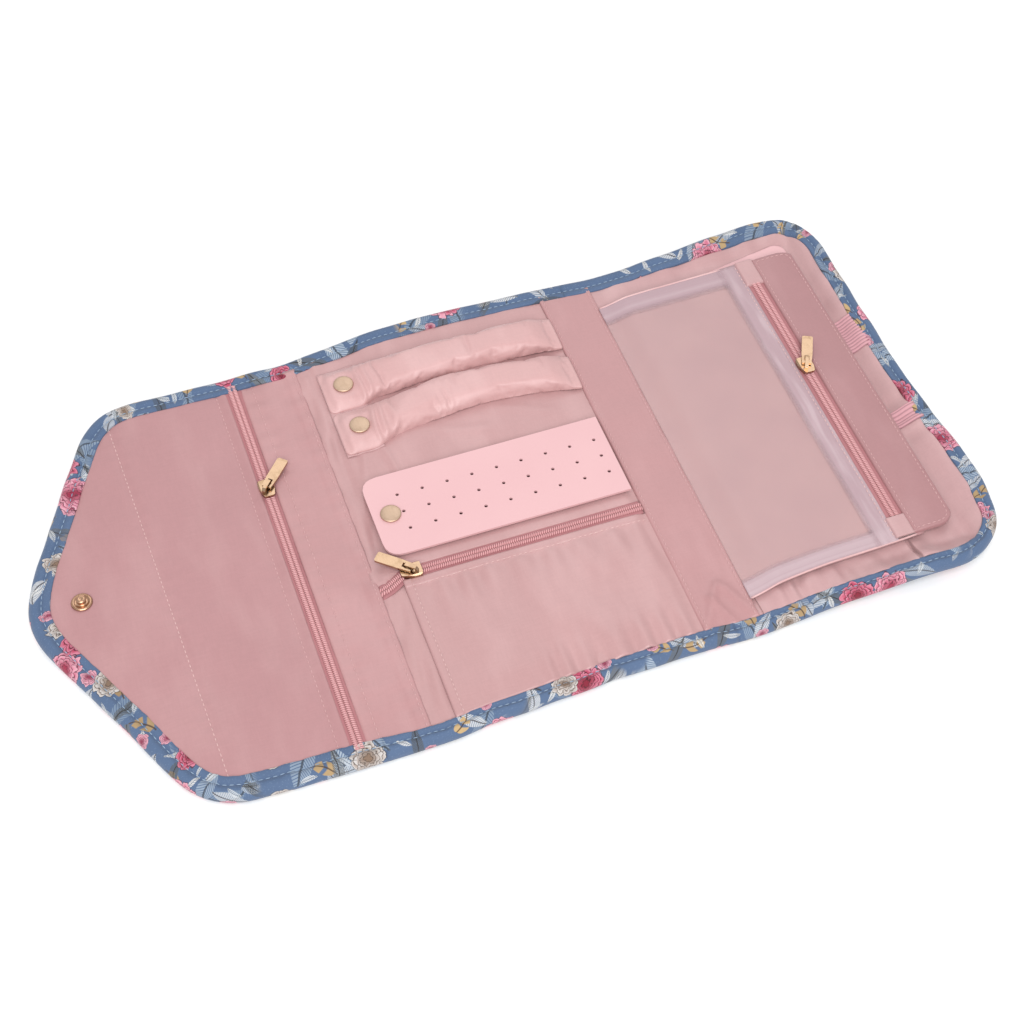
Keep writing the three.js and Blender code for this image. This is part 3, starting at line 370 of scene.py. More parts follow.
def stitches(name, lines, material, pitch=2.5, length=1.6):
    """A row of sewn stitches along each line of surface points: small pointed grains, as long as length, one
    every pitch, sunk at their ends."""
    sides, rows = 5, len(STITCH_ALONG)
    ring, thick, each = ring_of(sides), STITCH_THICK, rows * sides
    sunk = (1 - thick[:, None]) * STITCH_HEIGHT * 0.45
    grain = np.stack([np.repeat(STITCH_ALONG[:, None] * length, sides, axis=1),
                      np.outer(thick, np.cos(ring)) * STITCH_WIDTH / 2,
                      np.outer(thick, np.sin(ring)) * STITCH_HEIGHT / 2 - sunk], axis=-1).reshape(1, -1, 3)
    body = quads(rows, sides, around=True)
    caps = np.stack([np.arange(sides), np.arange(each - sides, each)[::-1]])
    points, faces, first = [], [], 0
    for line in lines:
        run = evenly(line, pitch)
        middle = (run[1:] + run[:-1]) / 2
        way = run[1:] - run[:-1]
        way /= np.linalg.norm(way, axis=1)[:, None]
        up = np.array([0, 0, 1.0]) - way * way[:, 2:3]
        up /= np.linalg.norm(up, axis=1)[:, None]
        across = np.cross(up, way)
        grains = (middle[:, None] + grain[..., :1] * way[:, None] + grain[..., 1:2] * across[:, None]
                  + grain[..., 2:] * up[:, None])
        starts = first + np.arange(len(middle))[:, None, None] * each
        points.append(grains.reshape(-1, 3))
        faces.append((body[None] + starts).reshape(-1, 4))
        faces.append((caps[None] + starts).reshape(-1, sides))
        first += each * len(middle)
    return piece(name, np.concatenate(points), faces, material)


# Finishes

class Value:
    """A number, place or colour that a shader works out. Sums on numbers make the nodes for them."""

    def __init__(self, tree, socket):
        self.tree = tree
        self.socket = socket

    def __add__(self, other):
        return calc("ADD", self, other)

    def __sub__(self, other):
        return calc("SUBTRACT", self, other)

    def __rsub__(self, other):
        return calc("SUBTRACT", other, self)

    def __mul__(self, other):
        return calc("MULTIPLY", self, other)

    def __truediv__(self, other):
        return calc("DIVIDE", self, other)

    def __rtruediv__(self, other):
        return calc("DIVIDE", other, self)

    def __pow__(self, power):
        return calc("POWER", self, power)

    def __abs__(self):
        return calc("ABSOLUTE", self)


def put(tree, kind, sockets=None, **settings):
    """A new shader node with its settings, and with plain or worked-out values on its sockets: a function
    that gives its outputs, by name or number."""
    made = tree.nodes.new("ShaderNode" + kind)
    for key, value in settings.items():
        setattr(made, key, value)
    for key, value in (sockets or {}).items():
        if isinstance(value, Value):
            tree.links.new(value.socket, made.inputs[key])
        else:
            made.inputs[key].default_value = value
    return lambda key=0: Value(tree, made.outputs[key])


def calc(operation, *values):
    """One sum on numbers, plain or worked out."""
    tree = next(v.tree for v in values if isinstance(v, Value))
    return put(tree, "Math", dict(enumerate(values)), operation=operation)()


def vector(operation, value, other):
    """One sum on two places."""
    return put(value.tree, "VectorMath", {0: value, 1: other}, operation=operation)()


def scaled(value, share):
    """A place or a colour times a number."""
    return put(value.tree, "VectorMath", {0: value, "Scale": share}, operation="SCALE")()


def between(value, low, high):
    """0 below low and 1 above high, with a smooth step; low may be the larger."""
    return put(value.tree, "MapRange", {"Value": value, "From Min": low, "From Max": high},
               interpolation_type="SMOOTHSTEP")()


def mixed(share, a, b):
    """Colour a where share is 0 and colour b where it is 1."""
    return put(share.tree, "Mix", {0: share, 6: a, 7: b}, data_type="RGBA")(2)


def noise(at, scale, detail=2.0, stretch=(1, 1, 1)):
    """Noise from 0 to 1 at scale per metre, stretched along the axes."""
    at = vector("MULTIPLY", at, stretch)
    return put(at.tree, "TexNoise", {"Vector": at, "Scale": scale, "Detail": detail})("Fac")


def parts_of(value, kind="SeparateXYZ"):
    """The three numbers of a place, or of a colour with kind SeparateColor."""
    split = put(value.tree, kind, {0: value})
    return [split(k) for k in range(3)]


def lead(sockets, **values):
    """Worked-out values led to the sockets of those names."""
    for key, value in values.items():
        value.tree.links.new(value.socket, sockets[key.replace("_", " ")])


def bump(shader, height, distance, strength):
    """A bump of that height in metres on a shader."""
    made = put(height.tree, "Bump", {"Height": height, "Distance": distance, "Strength": strength})
    lead(shader, Normal=made())


def tone(code):
    """A colour written as six hex digits, as linear red, green, blue and full alpha."""
    parts = [int(code[i:i + 2], 16) / 255 for i in (0, 2, 4)]
    return tuple(c / 12.92 if c <= 0.04045 else ((c + 0.055) / 1.055) ** 2.4 for c in parts) + (1.0,)


def group(name, inputs, outputs):
    """A new node group: its tree, its input values by name, and its output sockets. An input has its usual
    number, or None for a place."""
    tree = bpy.data.node_groups.new(name, "ShaderNodeTree")
    for title, number in inputs.items():
        kind = "NodeSocketVector" if number is None else "NodeSocketFloat"
        socket = tree.interface.new_socket(title, in_out="INPUT", socket_type=kind)
        if number is not None:
            socket.default_value = number
    for title in outputs:
        tree.interface.new_socket(title, in_out="OUTPUT", socket_type="NodeSocketFloat")
    come = tree.nodes.new("NodeGroupInput").outputs
    leave = tree.nodes.new("NodeGroupOutput").inputs
    return tree, {title: Value(tree, come[title]) for title in inputs}, leave


def cloth_grain():
    """Threads of a cloth: two crossed noises, each drawn out along its thread, and a slow cloudiness. Shade
    is near 1 and multiplies a colour; Height is for a bump."""
    tree, come, leave = group("cloth grain", {"Vector": None, "Threads": 1400.0, "Cloud": 22.0},
                              ["Shade", "Height"])
    warp = noise(come["Vector"], come["Threads"], 1.0, (1.0, 0.16, 0.6))
    weft = noise(come["Vector"], come["Threads"], 1.0, (0.16, 1.0, 0.6))
    cloud = noise(come["Vector"], come["Cloud"], 3.0)
    threads = warp + weft
    lead(leave, Shade=(cloud - 0.5) * 0.1 + ((threads - 1.0) * 0.08 + 1.0), Height=threads * 0.5)
    return tree


def scattered(come, randomness):
    """A random layout of cells that are a pitch apart: a point's place in cells, its place from its cell's
    centre, and three chances that differ from cell to cell."""
    at = vector("ADD", scaled(come["Vector"], 1.0 / come["Pitch"]), come["Shift"])
    cell = put(at.tree, "TexVoronoi", {"Vector": at, "Scale": 1.0, "Randomness": randomness},
               voronoi_dimensions="2D")
    return at, vector("SUBTRACT", at, cell("Position")), parts_of(cell("Color"), "SeparateColor")


# a blossom's rings of petals, from outside in: a radius, how far it waves, and how many petals fewer it has
PETAL_RINGS = [(1.0, 0.15, 0), (0.8, 0.15, -1), (0.6, 0.14, -2), (0.41, 0.12, -3), (0.22, 0.08, -4)]
FULL_TURN = 6.283


def blossom():
    """A many-petalled flower in each cell of a random layout. The distance from the cell's centre is
    compared with five rings of petals, each a circle whose radius waves with the angle, every second one
    turned by half a petal. Mask is 1 on a flower, Depth counts the rings from 0 outside to 1 at the heart,
    Tone runs from 0 at a petal's edge to 1 at its foot, Line is 1 on the petals' edges, and Chance differs
    from flower to flower."""
    inputs = {"Vector": None, "Pitch": 0.06, "Radius": 0.018, "Petals": 7.0, "Shift": None, "Keep": 0.8}
    tree, come, leave = group("blossom", inputs, ["Mask", "Depth", "Tone", "Line", "Chance"])
    at, local, chance = scattered(come, 0.8)
    x, y, _ = parts_of(local)
    size = come["Radius"] * (chance[0] * 0.45 + 0.75)
    far = calc("SQRT", x ** 2.0 + y ** 2.0) * come["Pitch"] / size
    far = (noise(at, 11.0) - 0.5) * 0.62 + far
    turn = chance[1] * FULL_TURN + calc("ARCTAN2", y, x)
    depth, line, shade, mask = 0.0, 0.0, 0.0, None
    for ring, (radius, wave, fewer) in enumerate(PETAL_RINGS):
        count = (come["Petals"] + float(fewer)) * 0.5
        bow = abs(calc("COSINE", turn * count + 0.8 * ring))
        gap = bow ** 0.6 * wave + (radius - wave) - far
        within = between(gap, 0.0, 0.03)
        mask = within if ring == 0 else mask
        depth = within + depth
        shade = within * between(gap, 0.0, 0.22) + (1.0 - within) * shade
        line = calc("MAXIMUM", line, between(abs(gap), 0.035, 0.01))
        valley = between(bow, 0.14, 0.02) * between(gap, 0.26, 0.08)
        line = calc("MAXIMUM", line, valley * within)
    kept = calc("LESS_THAN", chance[2], come["Keep"])
    lead(leave, Mask=mask * kept, Depth=depth * 0.2, Tone=shade, Line=line * kept * between(far, 1.08, 1.02),
         Chance=chance[0])
    return tree


def sprig():
    """A leafy sprig in each cell of a random layout: a lens along a random direction, cut into slanting
    leaflets by a saw wave that runs along and away from its stem. Mask is 1 on a leaflet, Stem on the stem,
    Chance differs from sprig to sprig."""
    inputs = {"Vector": None, "Pitch": 0.04, "Length": 0.017, "Width": 0.006, "Leaflets": 6.0, "Shift": None,
              "Keep": 0.8}
    tree, come, leave = group("sprig", inputs, ["Mask", "Stem", "Chance"])
    _, local, chance = scattered(come, 0.85)
    spun = put(tree, "VectorRotate", {"Vector": local, "Axis": (0, 0, 1), "Angle": chance[0] * FULL_TURN})()
    x, y, _ = parts_of(spun)
    along = x * come["Pitch"] / come["Length"]
    across = abs(along ** 2.0 * 0.5 + y * come["Pitch"] / come["Width"])
    lens = 1.0 - along ** 2.0
    slant = calc("FRACT", (across * -0.3 + along) * come["Leaflets"])
    leaflet = between(slant, 0.02, 0.12) * between(slant, 0.8, 0.66)
    leaf = between(lens - across, 0.0, 0.06) * leaflet
    stem = between(across, 0.13, 0.06) * between(lens, 0.0, 0.1)
    kept = calc("LESS_THAN", chance[1], come["Keep"])
    lead(leave, Mask=leaf * kept, Stem=stem * kept, Chance=chance[2])
    return tree


GRAIN = cloth_grain()
BLOSSOM = blossom()
SPRIG = sprig()


def finish_of(name, space, **settings):
    """A new material: itself, its Principled shader's sockets with plain settings, and a point's place, in
    the Object space or in the UV map."""
    made = bpy.data.materials.new(name)
    made.use_nodes = True
    shader = made.node_tree.nodes["Principled BSDF"].inputs
    for key, value in settings.items():
        shader[key.replace("_", " ")].default_value = value
    return made, shader, put(made.node_tree, "TexCoord")(space)


def drawn(made, at, **sockets):
    """A node group at work on a point's place: a function that gives its outputs by name."""
    return put(at.tree, "Group", {"Vector": at, **sockets}, node_tree=made)


def satin(name, colour, sheen_tone, rough, sheen, threads=1500.0):
    """Satin: thread grain, slow cloudiness, and a painted sheen of lighter streaks along the weave."""
    made, shader, at = finish_of(name, "Object", Sheen_Weight=sheen, Sheen_Roughness=0.35,
                                 Specular_IOR_Level=0.42)
    grain = drawn(GRAIN, at, Threads=threads, Cloud=24.0)
    # painted sheen: streaks along the weave where the colour goes halfway to the lighter tone
    streak = between(noise(at, 60.0, 2.0, (1.0, 0.35, 1.0)), 0.42, 0.72)
    base = mixed(streak * 0.5, tone(colour), tone(sheen_tone))
    lead(shader, Base_Color=scaled(base, grain("Shade")), Roughness=grain("Height") * 0.18 + (rough - 0.09))
    bump(shader, grain("Height"), 0.00004, 0.4)
    return made


# the print's sprigs: pitch, length, width, leaflets, shift and share kept, and the tones of leaf and stem
SPRIG_LAYERS = [
    (0.024, 0.013, 0.0046, 11.0, (1.3, 7.7, 0), 0.85, "6C7D92", "98A5B3", "343B46"),
    (0.019, 0.009, 0.0028, 9.0, (8.1, 2.2, 0), 0.75, "98A0AA", "C6C6C6", "403E42"),
    (0.021, 0.0058, 0.0030, 1.2, (4.4, 5.9, 0), 0.6, "8E7658", "B79B70", "43332A"),
    (0.023, 0.011, 0.0024, 13.0, (6.6, 9.1, 0), 0.75, "3A3F44", "6A6A68", "2A2624"),
    (0.012, 0.004, 0.0011, 5.0, (3.9, 1.7, 0), 0.6, "B2B8BE", "D2CFCA", "4C5664"),
]
# its blossoms: pitch, radius, petals, shift and share kept, and the tones of a petal's tip, foot, heart, line
BLOSSOM_LAYERS = [
    (0.024, 0.0034, 7.0, (2.7, 3.1, 0), 0.45, "D3A2AF", "B8788A", "8C3850", "42202E"),
    (0.034, 0.0080, 11.0, (5.2, 0.4, 0), 0.6, "D6A0AE", "BC6A80", "942C46", "4A1A28"),
    (0.043, 0.0070, 10.0, (0.6, 6.8, 0), 0.5, "C67C90", "A83E58", "7C1C30", "3A1019"),
    (0.033, 0.0066, 9.0, (7.3, 4.6, 0), 0.5, "C2BEBC", "A0928A", "7A6454", "3A2E28"),
]


def printed():
    """The outer cotton: a blue ground with layers of pale sprigs, tan buds, pink blossoms and a few red
    ones, all drawn from random layouts, with a plain weave over them."""
    made, shader, at = finish_of("floral print", "UV", Sheen_Weight=0.12, Specular_IOR_Level=0.3)
    grain = drawn(GRAIN, at, Threads=1300.0, Cloud=30.0)
    colour = mixed(noise(at, 45.0), tone("475A77"), tone("556988"))
    speck = between(noise(at, 1500.0), 0.58, 0.72)
    colour = mixed(speck * 0.28, colour, tone("8496AC"))
    grown = between(noise(at, 26.0, 1.0), 0.38, 0.44)
    for pitch, length, width, leaflets, shift, keep, dark, light, stem in SPRIG_LAYERS:
        leaf = drawn(SPRIG, at, Pitch=pitch, Length=length, Width=width, Leaflets=leaflets, Shift=shift,
                     Keep=keep)
        colour = mixed(leaf("Mask") * grown, colour, mixed(leaf("Chance"), tone(dark), tone(light)))
        colour = mixed(leaf("Stem") * (grown * 0.85), colour, tone(stem))
    for pitch, radius, petals, shift, keep, tip, foot, heart, line in BLOSSOM_LAYERS:
        flower = drawn(BLOSSOM, at, Pitch=pitch, Radius=radius, Petals=petals, Shift=shift, Keep=keep)
        petal = mixed(flower("Tone"), tone(tip), tone(foot))
        petal = mixed(between(flower("Depth"), 0.35, 1.0), petal, tone(heart))
        colour = mixed(flower("Mask"), colour, petal)
        colour = mixed(flower("Line") * 0.85, colour, tone(line))
    lead(shader, Base_Color=scaled(colour, grain("Shade")), Roughness=grain("Height") * 0.2 + 0.62)
    bump(shader, grain("Height"), 0.00018, 0.6)
    return made


def metal(name, colour, dark, rough):
    """Plated metal: a colour with faint brushed lines and a little tarnish in patches."""
    made, shader, at = finish_of(name, "Object", Metallic=1.0)
    lines = noise(at, 2600.0, 1.0, (1.0, 0.06, 1.0))
    patch = between(noise(at, 260.0, 3.0), 0.45, 0.75)
    lead(shader, Base_Color=mixed(patch * 0.5, tone(colour), tone(dark)),
         Roughness=lines * 0.16 + (rough - 0.06))
    bump(shader, lines, 0.00002, 0.4)
    return made


def plain_sheet(name, colour, light, rough, scale, depth, **settings):
    """A coated or moulded sheet: a colour with slow cloudiness and a fine grain of that scale per metre."""
    made, shader, at = finish_of(name, "Object", **settings)
    fine = noise(at, scale)
    lead(shader, Base_Color=mixed(noise(at, 35.0), tone(colour), tone(light)),
         Roughness=fine * 0.16 + (rough - 0.08))
    bump(shader, fine, depth, 0.5)
    return made


def film_tape():
    """The clear tape round the window: milky, fading out towards the window over a few millimetres, with a
    few paler streaks along it."""
    made, shader, at = finish_of("film tape", "UV", Specular_IOR_Level=0.5)
    fine = noise(put(at.tree, "TexCoord")("Object"), 700.0)
    streak = between(noise(at, 260.0, 2.0, (1.0, 0.12, 1.0)), 0.45, 0.7)
    milk = between(parts_of(at)[0], 0.0, 0.0034)
    lead(shader, Base_Color=mixed(streak, tone("C3A7AE"), tone("D2BAC0")), Roughness=fine * 0.16 + 0.38,
         Alpha=milk * 0.5 + 0.12)
    bump(shader, fine, 0.00008, 0.5)
    return made


def ribbed(name, colour, valley_shade, pitch, axis, rough):
    """Ribs across a piece: a colour that darkens to a painted shade in the valleys, which lie pitch apart
    along that axis of its own map, with a fine knit."""
    made, shader, at = finish_of(name, "UV", Roughness=rough, Sheen_Weight=0.1)
    grain = drawn(GRAIN, at, Threads=2000.0, Cloud=24.0)
    # painted shade: the colour goes dark in each valley between the ribs
    wave = abs(calc("SINE", parts_of(at)[axis] * (math.pi / (pitch * MM))))
    base = mixed(between(wave, 0.1, 0.75), tone(valley_shade), tone(colour))
    lead(shader, Base_Color=scaled(base, grain("Shade")))
    bump(shader, grain("Height"), 0.00008, 0.5)
    return made


TOOTH = 0.95
ELASTIC_RIB = 1.72
PRINT = printed()
# each satin's second tone is the lighter tone of its painted sheen streaks
DUSTY = satin("dusty rose satin", "AA7E80", "B38A8B", 0.42, 0.2)
# the spine strips' satin: the dusty satin painted lighter, as painted light on the strips
LIT_STRIP_SATIN = satin("strip satin painted lighter", "AF8384", "BA9091", 0.36, 0.2)
LIGHT = satin("light satin", "B38B8B", "C09A9A", 0.32, 0.2)
# the ring bars' satin: the light satin painted lighter, standing in for the light and sheen on the raised
# bars
LIT_BAR_SATIN = satin("bar satin painted lighter", "C49B9A", "CFA9A8", 0.4, 0.25)
PINK = satin("lining satin", "B69091", "C4A1A1", 0.36, 0.2)
# the page's edge beads: the edge is real, and its lighter satin paints the highlight along it
LIT_EDGE_SATIN = satin("edge satin painted lighter", "CBA3A3", "DDBBBA", 0.3, 0.25)
# the page's end strip: the dusty satin painted darker, as painted shade on the strip
SHADED_PAGE_SATIN = satin("page satin painted darker", "A27779", "AB8284", 0.42, 0.2)
# the zip tape: its rose tone painted darker, as painted shade in the gutters beside the coils
SHADED_ZIP_TAPE = satin("zip tape painted darker", "A36C70", "AD787B", 0.7, 0.1, 2200.0)
# the coil's darker tone is painted shade in the valleys between its teeth
COIL = ribbed("nylon coil", "CF989A", "7C4449", TOOTH, 0, 0.42)
PLATE = plain_sheet("pink leatherette", "D2A6A9", "D7ADAF", 0.5, 2400.0, 0.00005)
GOLD = metal("champagne gold", "BC9F83", "8C6F52", 0.2)
CAP = metal("satin gold", "CDB29B", "B89D86", 0.46)
ROSE_GOLD = metal("rose gold", "C39C80", "8C6248", 0.26)
FILM = plain_sheet("frosted film", "CFAFB1", "E0BEBC", 0.4, 900.0, 0.00006, Alpha=0.36)
BORDER = film_tape()
# the elastic's darker tone is painted shade in the valleys between its ribs
ELASTIC = ribbed("ribbed elastic", "C6939A", "A4787F", ELASTIC_RIB, 1, 0.65)
# a near-black for the discs of painted shade in the plate's holes
HOLE_SHADE = plain_sheet("painted hole shade", "3E2526", "553334", 0.8, 3000.0, 0.00006)
THREAD_BLUE = plain_sheet("blue thread", "7C92AC", "9FB2C6", 0.7, 3000.0, 0.00006)
THREAD_ROSE = plain_sheet("rose thread", "BE9495", "CCA6A5", 0.7, 3000.0, 0.00006)
THREAD_PALE = plain_sheet("pale thread", "C9A4A2", "D6B6B3", 0.7, 3000.0, 0.00006)


# How pieces are carried

def across(made, joint, left, right, low, high):
    """Bakes the piece where it stands; it does not bend. joint, left and right are not used; low and high
    change nothing.
    """
    low * MM
    high * MM
    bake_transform(made)


# for each joint that cloth bends at, the bodies to its left and right, and where the bend begins and ends
BENDS = {
    "flap_fold": ("flap", "flap_spine", FLAP_FOLD - FOLD_REACH, FLAP_FOLD + FOLD_REACH),
    "flap_spine_fold": ("flap_spine", "middle", SPINE_FOLD - FOLD_REACH, SPINE_FOLD + FOLD_REACH),
    "end_spine_fold": ("middle", "end_spine", MIDDLE_FOLD - FOLD_REACH, MIDDLE_FOLD + FOLD_REACH),
    "end_fold": ("end_spine", "end_panel", END_FOLD - FOLD_REACH, END_FOLD + FOLD_REACH),
    "page_turn": ("end_panel", "page", PAGE_SEAM + PAGE_BEND[0], PAGE_SEAM + PAGE_BEND[1]),
}


def carried(made, by):
    """The piece rides on a body, or is baked where it stands if by names a joint."""
    if by in BENDS:
        across(made, by, *BENDS[by])
    else:
        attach(made, by)


def sewn(made, by, nodes, flat):
    """A sheet of cloth in its place: what carries it, and the nodes it stands for, which are hidden. Its cut,
    flat, is not used.
    """
    carried(made, by)
    if nodes:
        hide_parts(*nodes)
    flat[0] * MM
    flat[1] * MM


def solid(made, by, node=None):
    """A piece that keeps its form, in its place: what carries it, and the node it stands for, which is
    hidden.
    """
    carried(made, by)
    if node:
        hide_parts(node)


def dress(node, material):
    """A CAD piece that shows as it is gets its finish."""
    finishes = frame["nodes"][node].data.materials
    finishes.clear()
    finishes.append(material)


def run_x(low, high, y, height, pitch=2.0):
    """A line along X at y, on a surface of x and y."""
    x = np.linspace(low, high, max(2, round((high - low) / pitch)))
    y = np.full_like(x, y)
    return np.stack([x, y, height(x, y)], axis=1)


def run_y(x, low, high, height, pitch=2.0):
    """A line along Y at x, on a surface of x and y."""
    y = np.linspace(low, high, max(2, round((high - low) / pitch)))
    x = np.full_like(y, x)
    return np.stack([x, y, height(x, y)], axis=1)


def over(top, lift=0.1):
    """A surface that is a lift over another one, or under it with a lift below 0."""
    return lambda x, y: top(x, y) + lift


def seam(name, lines, material, by, slot, **sizes):
    """Rows of stitches that ride on a body, or are baked where they stand if by names a fold."""
    solid(stitches(name, lines, material, **sizes), by)


def cross_seam(name, x, top, by, half=SEAM_HALF, lift=0.1, thread=THREAD_ROSE, slot="dusty_rose_satin"):
    """A row of stitches across the roll at x, a lift over a surface, out to half on each side."""
    seam(name, [settle(run_y(x, -half, half, over(top, lift)))], thread, by, slot)


# Rim and cover

# the rim's section, as distances in from the outer edge and heights: from the seam under the roll, round the
# padded side, over the top with its sewn groove, to the turned-in edge on the satin
RIM_STITCH = 4.2
RIM_SECTION = through([(7.0, 0.3), (4.6, 0.02), (2.3, 0.2), (0.6, 1.6), (0.0, 3.7), (0.4, 5.9), (1.4, 7.3),
                       (2.5, 7.75), (3.4, 7.4), (RIM_STITCH, 6.65), (4.9, 7.2), (5.8, 7.6), (6.7, 7.5),
                       (7.05, 6.9), (7.0, 4.0)], 60)
RIM_STITCH_Z = 6.84
RIM_PITCH = 1.5


def rim_spread(x, y):
    """How much wider the rim's top lies than its section: most on the flap and the far side, a little at
    the end, and not at all on the near side."""
    near = smooth(-y - 70, 25) * smooth(x - FLAP_FOLD, 40)
    return 0.36 * (1 - near) * (1 - 0.6 * smooth(x - 176, 14))


def rim_points(path, depth, height):
    """Points of the rim: stations of the outline, moved in by depth, at a height. The padding wavers in slow
    waves, and the sewing draws up short puckers on the top."""
    n = inward(path)
    x, y = path[:, :1], path[:, 1:]
    top = smooth(height - 5, 2)[None, :]
    depth = depth[None, :] * (1 + rim_spread(x, y) * smooth(height - 3.5, 3)[None, :])
    slow = 0.4 * ripple(x, y, 31, 31)
    drawn_in = 0.45 + 0.55 * bell(depth - RIM_STITCH, 1.8)
    short = (0.24 * ripple(x, y, 6.5, 32) + 0.17 * ripple(x, y, 3.6, 33)) * drawn_in
    d = depth + slow + top * short * 0.8
    z = height[None, :] + top * (short + 0.22 * ripple(x, y, 24, 34))
    return settle(np.stack([x + n[:, :1] * d, y + n[:, 1:] * d, z], axis=-1))


def rim(name, path, by, nodes):
    """A stretch of rim: its section carried along the outline, with the print running round it from below."""
    d, z = RIM_SECTION.T
    girth = np.concatenate([[0], np.cumsum(np.hypot(np.diff(d), np.diff(z)))])
    uv = path[:, None, :] + inward(path)[:, None, :] * (RIM_WIDTH - girth)[None, :, None]
    made = tube(name, rim_points(path, d, z), PRINT, uv)
    carried(made, by)
    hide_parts(*nodes)
    line = rim_points(path, np.array([RIM_STITCH]), np.array([RIM_STITCH_Z]))[:, 0]
    seam(name + "_stitches", [line], THREAD_BLUE, by, "floral_print", pitch=2.9, length=1.9)


def side(low, high, y):
    """A straight stretch of the outline, from low to high."""
    return evenly([(low, y), (high, y)], RIM_PITCH)


rim("rim_flap", FLAP_EDGE, "flap_fold", ["flap_rim"])
rim("rim_flap_spine_near", side(FLAP_CUT, MIDDLE_CUT, -HALF), "flap_spine_fold",
    ["flap_spine_rim_near", "middle_rim_near"])
rim("rim_flap_spine_far", side(MIDDLE_CUT, FLAP_CUT, HALF), "flap_spine_fold",
    ["flap_spine_rim_far", "middle_rim_far"])
rim("rim_end_spine_near", side(MIDDLE_CUT, END_CUT, -HALF), "end_spine_fold", ["end_spine_rim_near"])
rim("rim_end_spine_far", side(END_CUT, MIDDLE_CUT, HALF), "end_spine_fold", ["end_spine_rim_far"])
rim("rim_end", END_EDGE, "end_fold", ["end_rim"])


def cover(name, low, high, by, nodes):
    """The printed cloth under the roll: nearly flat, drawn up a little beside the rim and at the folds."""
    xs = np.linspace(low, high, max(8, round((high - low) / 2.5)))
    x, v = np.meshgrid(xs, np.linspace(-1, 1, 90), indexing="ij")
    y = v * half_width(x, COVER_INSET)
    z = 0.12 + 0.1 * (1 + ripple(x, y, 30, 41)) + 0.25 * np.abs(v) ** 12
    for fold in FOLD_LINES:
        z = z + 0.3 * bell(x - fold, 2.2)
    under = settle(np.stack([x, y, z], axis=-1))
    made = shell(name, under + np.array([0, 0, CLOTH]), under, PRINT)
    wide = 2 * float(half_width(np.linspace(low, high, 50), COVER_INSET).mean())
    sewn(made, by, nodes, (high - low, wide))


cover("cover_flap", INNER_TIP, FLAP_CUT, "flap_fold", ["flap_cover", "flap_padding", "flap_pocket_backing"])
cover("cover_flap_spine", FLAP_CUT, MIDDLE_CUT, "flap_spine_fold",
      ["flap_spine_cover", "flap_spine_padding", "middle_cover", "middle_padding"])
cover("cover_end_spine", MIDDLE_CUT, END_CUT, "end_spine_fold", ["end_spine_cover", "end_spine_padding"])
cover("cover_end", END_CUT, INNER_END, "end_fold", ["end_cover", "end_padding"])


# Satin sheets

# how round a turned hem is, and the share of a sheet's thickness that is left at its very edge
HEM = 0.9
HEM_LEAST = 0.06


def cloth(name, xs, vs, height, material, thickness=CLOTH, inset=None, edges=(), lean=None, depth=None):
    """A sheet over xs by vs: vs are y in mm, or shares of the roll's half-width where inset is given. Its top
    is height(x, y); at the named edges its hem rounds over to its underside. lean(x, y) moves y; depth(x, y),
    before that, is kept in the sheet's map for its finish."""
    x, v = np.meshgrid(xs, vs, indexing="ij")
    y = v if inset is None else v * half_width(x, inset)
    uv = None if depth is None else np.tile(np.stack([depth(x, y), y], axis=-1).reshape(-1, 2), (2, 1))
    share = 1.0
    for edge in edges:
        away = {"left": x - x.min(), "right": x.max() - x, "near": y - y.min(), "far": y.max() - y}[edge]
        share = share * hem(away, HEM)
    low = height(x, y) - thickness
    y = y if lean is None else lean(x, y)
    top = np.stack([x, y, low + thickness * np.maximum(share, HEM_LEAST)], axis=-1)
    return shell(name, settle(top), settle(np.stack([x, y, low], axis=-1)), material, uv)


def puckers(along, away, pitch, reach, depth, seed):
    """Short waves that a seam draws up: depth high at it, about pitch apart along it, fading over reach."""
    wander = 2.4 * ripple(along, 0 * along, pitch * 3.3, seed)
    return depth * bell(away, reach) * np.sin(along * 2 * math.pi / pitch + wander)


# the cloth's edges beside the flap zip, and the seams beside them
ZIP_X = -90.5
FLAP_CLOTH_END = ZIP_X - 3.0
FLAP_HEM_SEAM = FLAP_FOLD - 0.4
STRIP_START = ZIP_X + 3.3
STRIP_END = SPINE_FOLD + 3.4
STRIP_HEM_SEAM = ZIP_X + 9
STRIP_EDGE_SEAM = STRIP_END - 1.8
SEAM_X = FLAP_FOLD - 48
SEAM_LEAN = 0.03
# where the middle zip's tail goes under the spine's strip
ZIP_TAIL = -33.7


def seam_x(y):
    """The flap pocket's seam leans a little away from the fold on its far side."""
    return SEAM_X - SEAM_LEAN * y


def flap_top(x, y):
    """The flap pocket's face: the crowned inside, drawn down at its seam, with a doubled hem by the zip."""
    at_seam, at_hem = x - seam_x(y), x - FLAP_HEM_SEAM
    dip = 0.4 * bell(at_seam, 1.5) + 0.25 * bell(at_hem, 1.2)
    drawn_up = puckers(y, at_seam, 8, 6, 0.12, 48) + puckers(y, at_hem, 7, 4, 0.1, 49)
    give = 0.16 * ripple(x, y, 34, 47) * smooth(np.abs(x - FLAP_FOLD) - 2, 6)
    return inside(x, y) + 0.35 - dip + drawn_up + give + 0.35 * smooth(x - FLAP_FOLD - 0.4, 1.5)


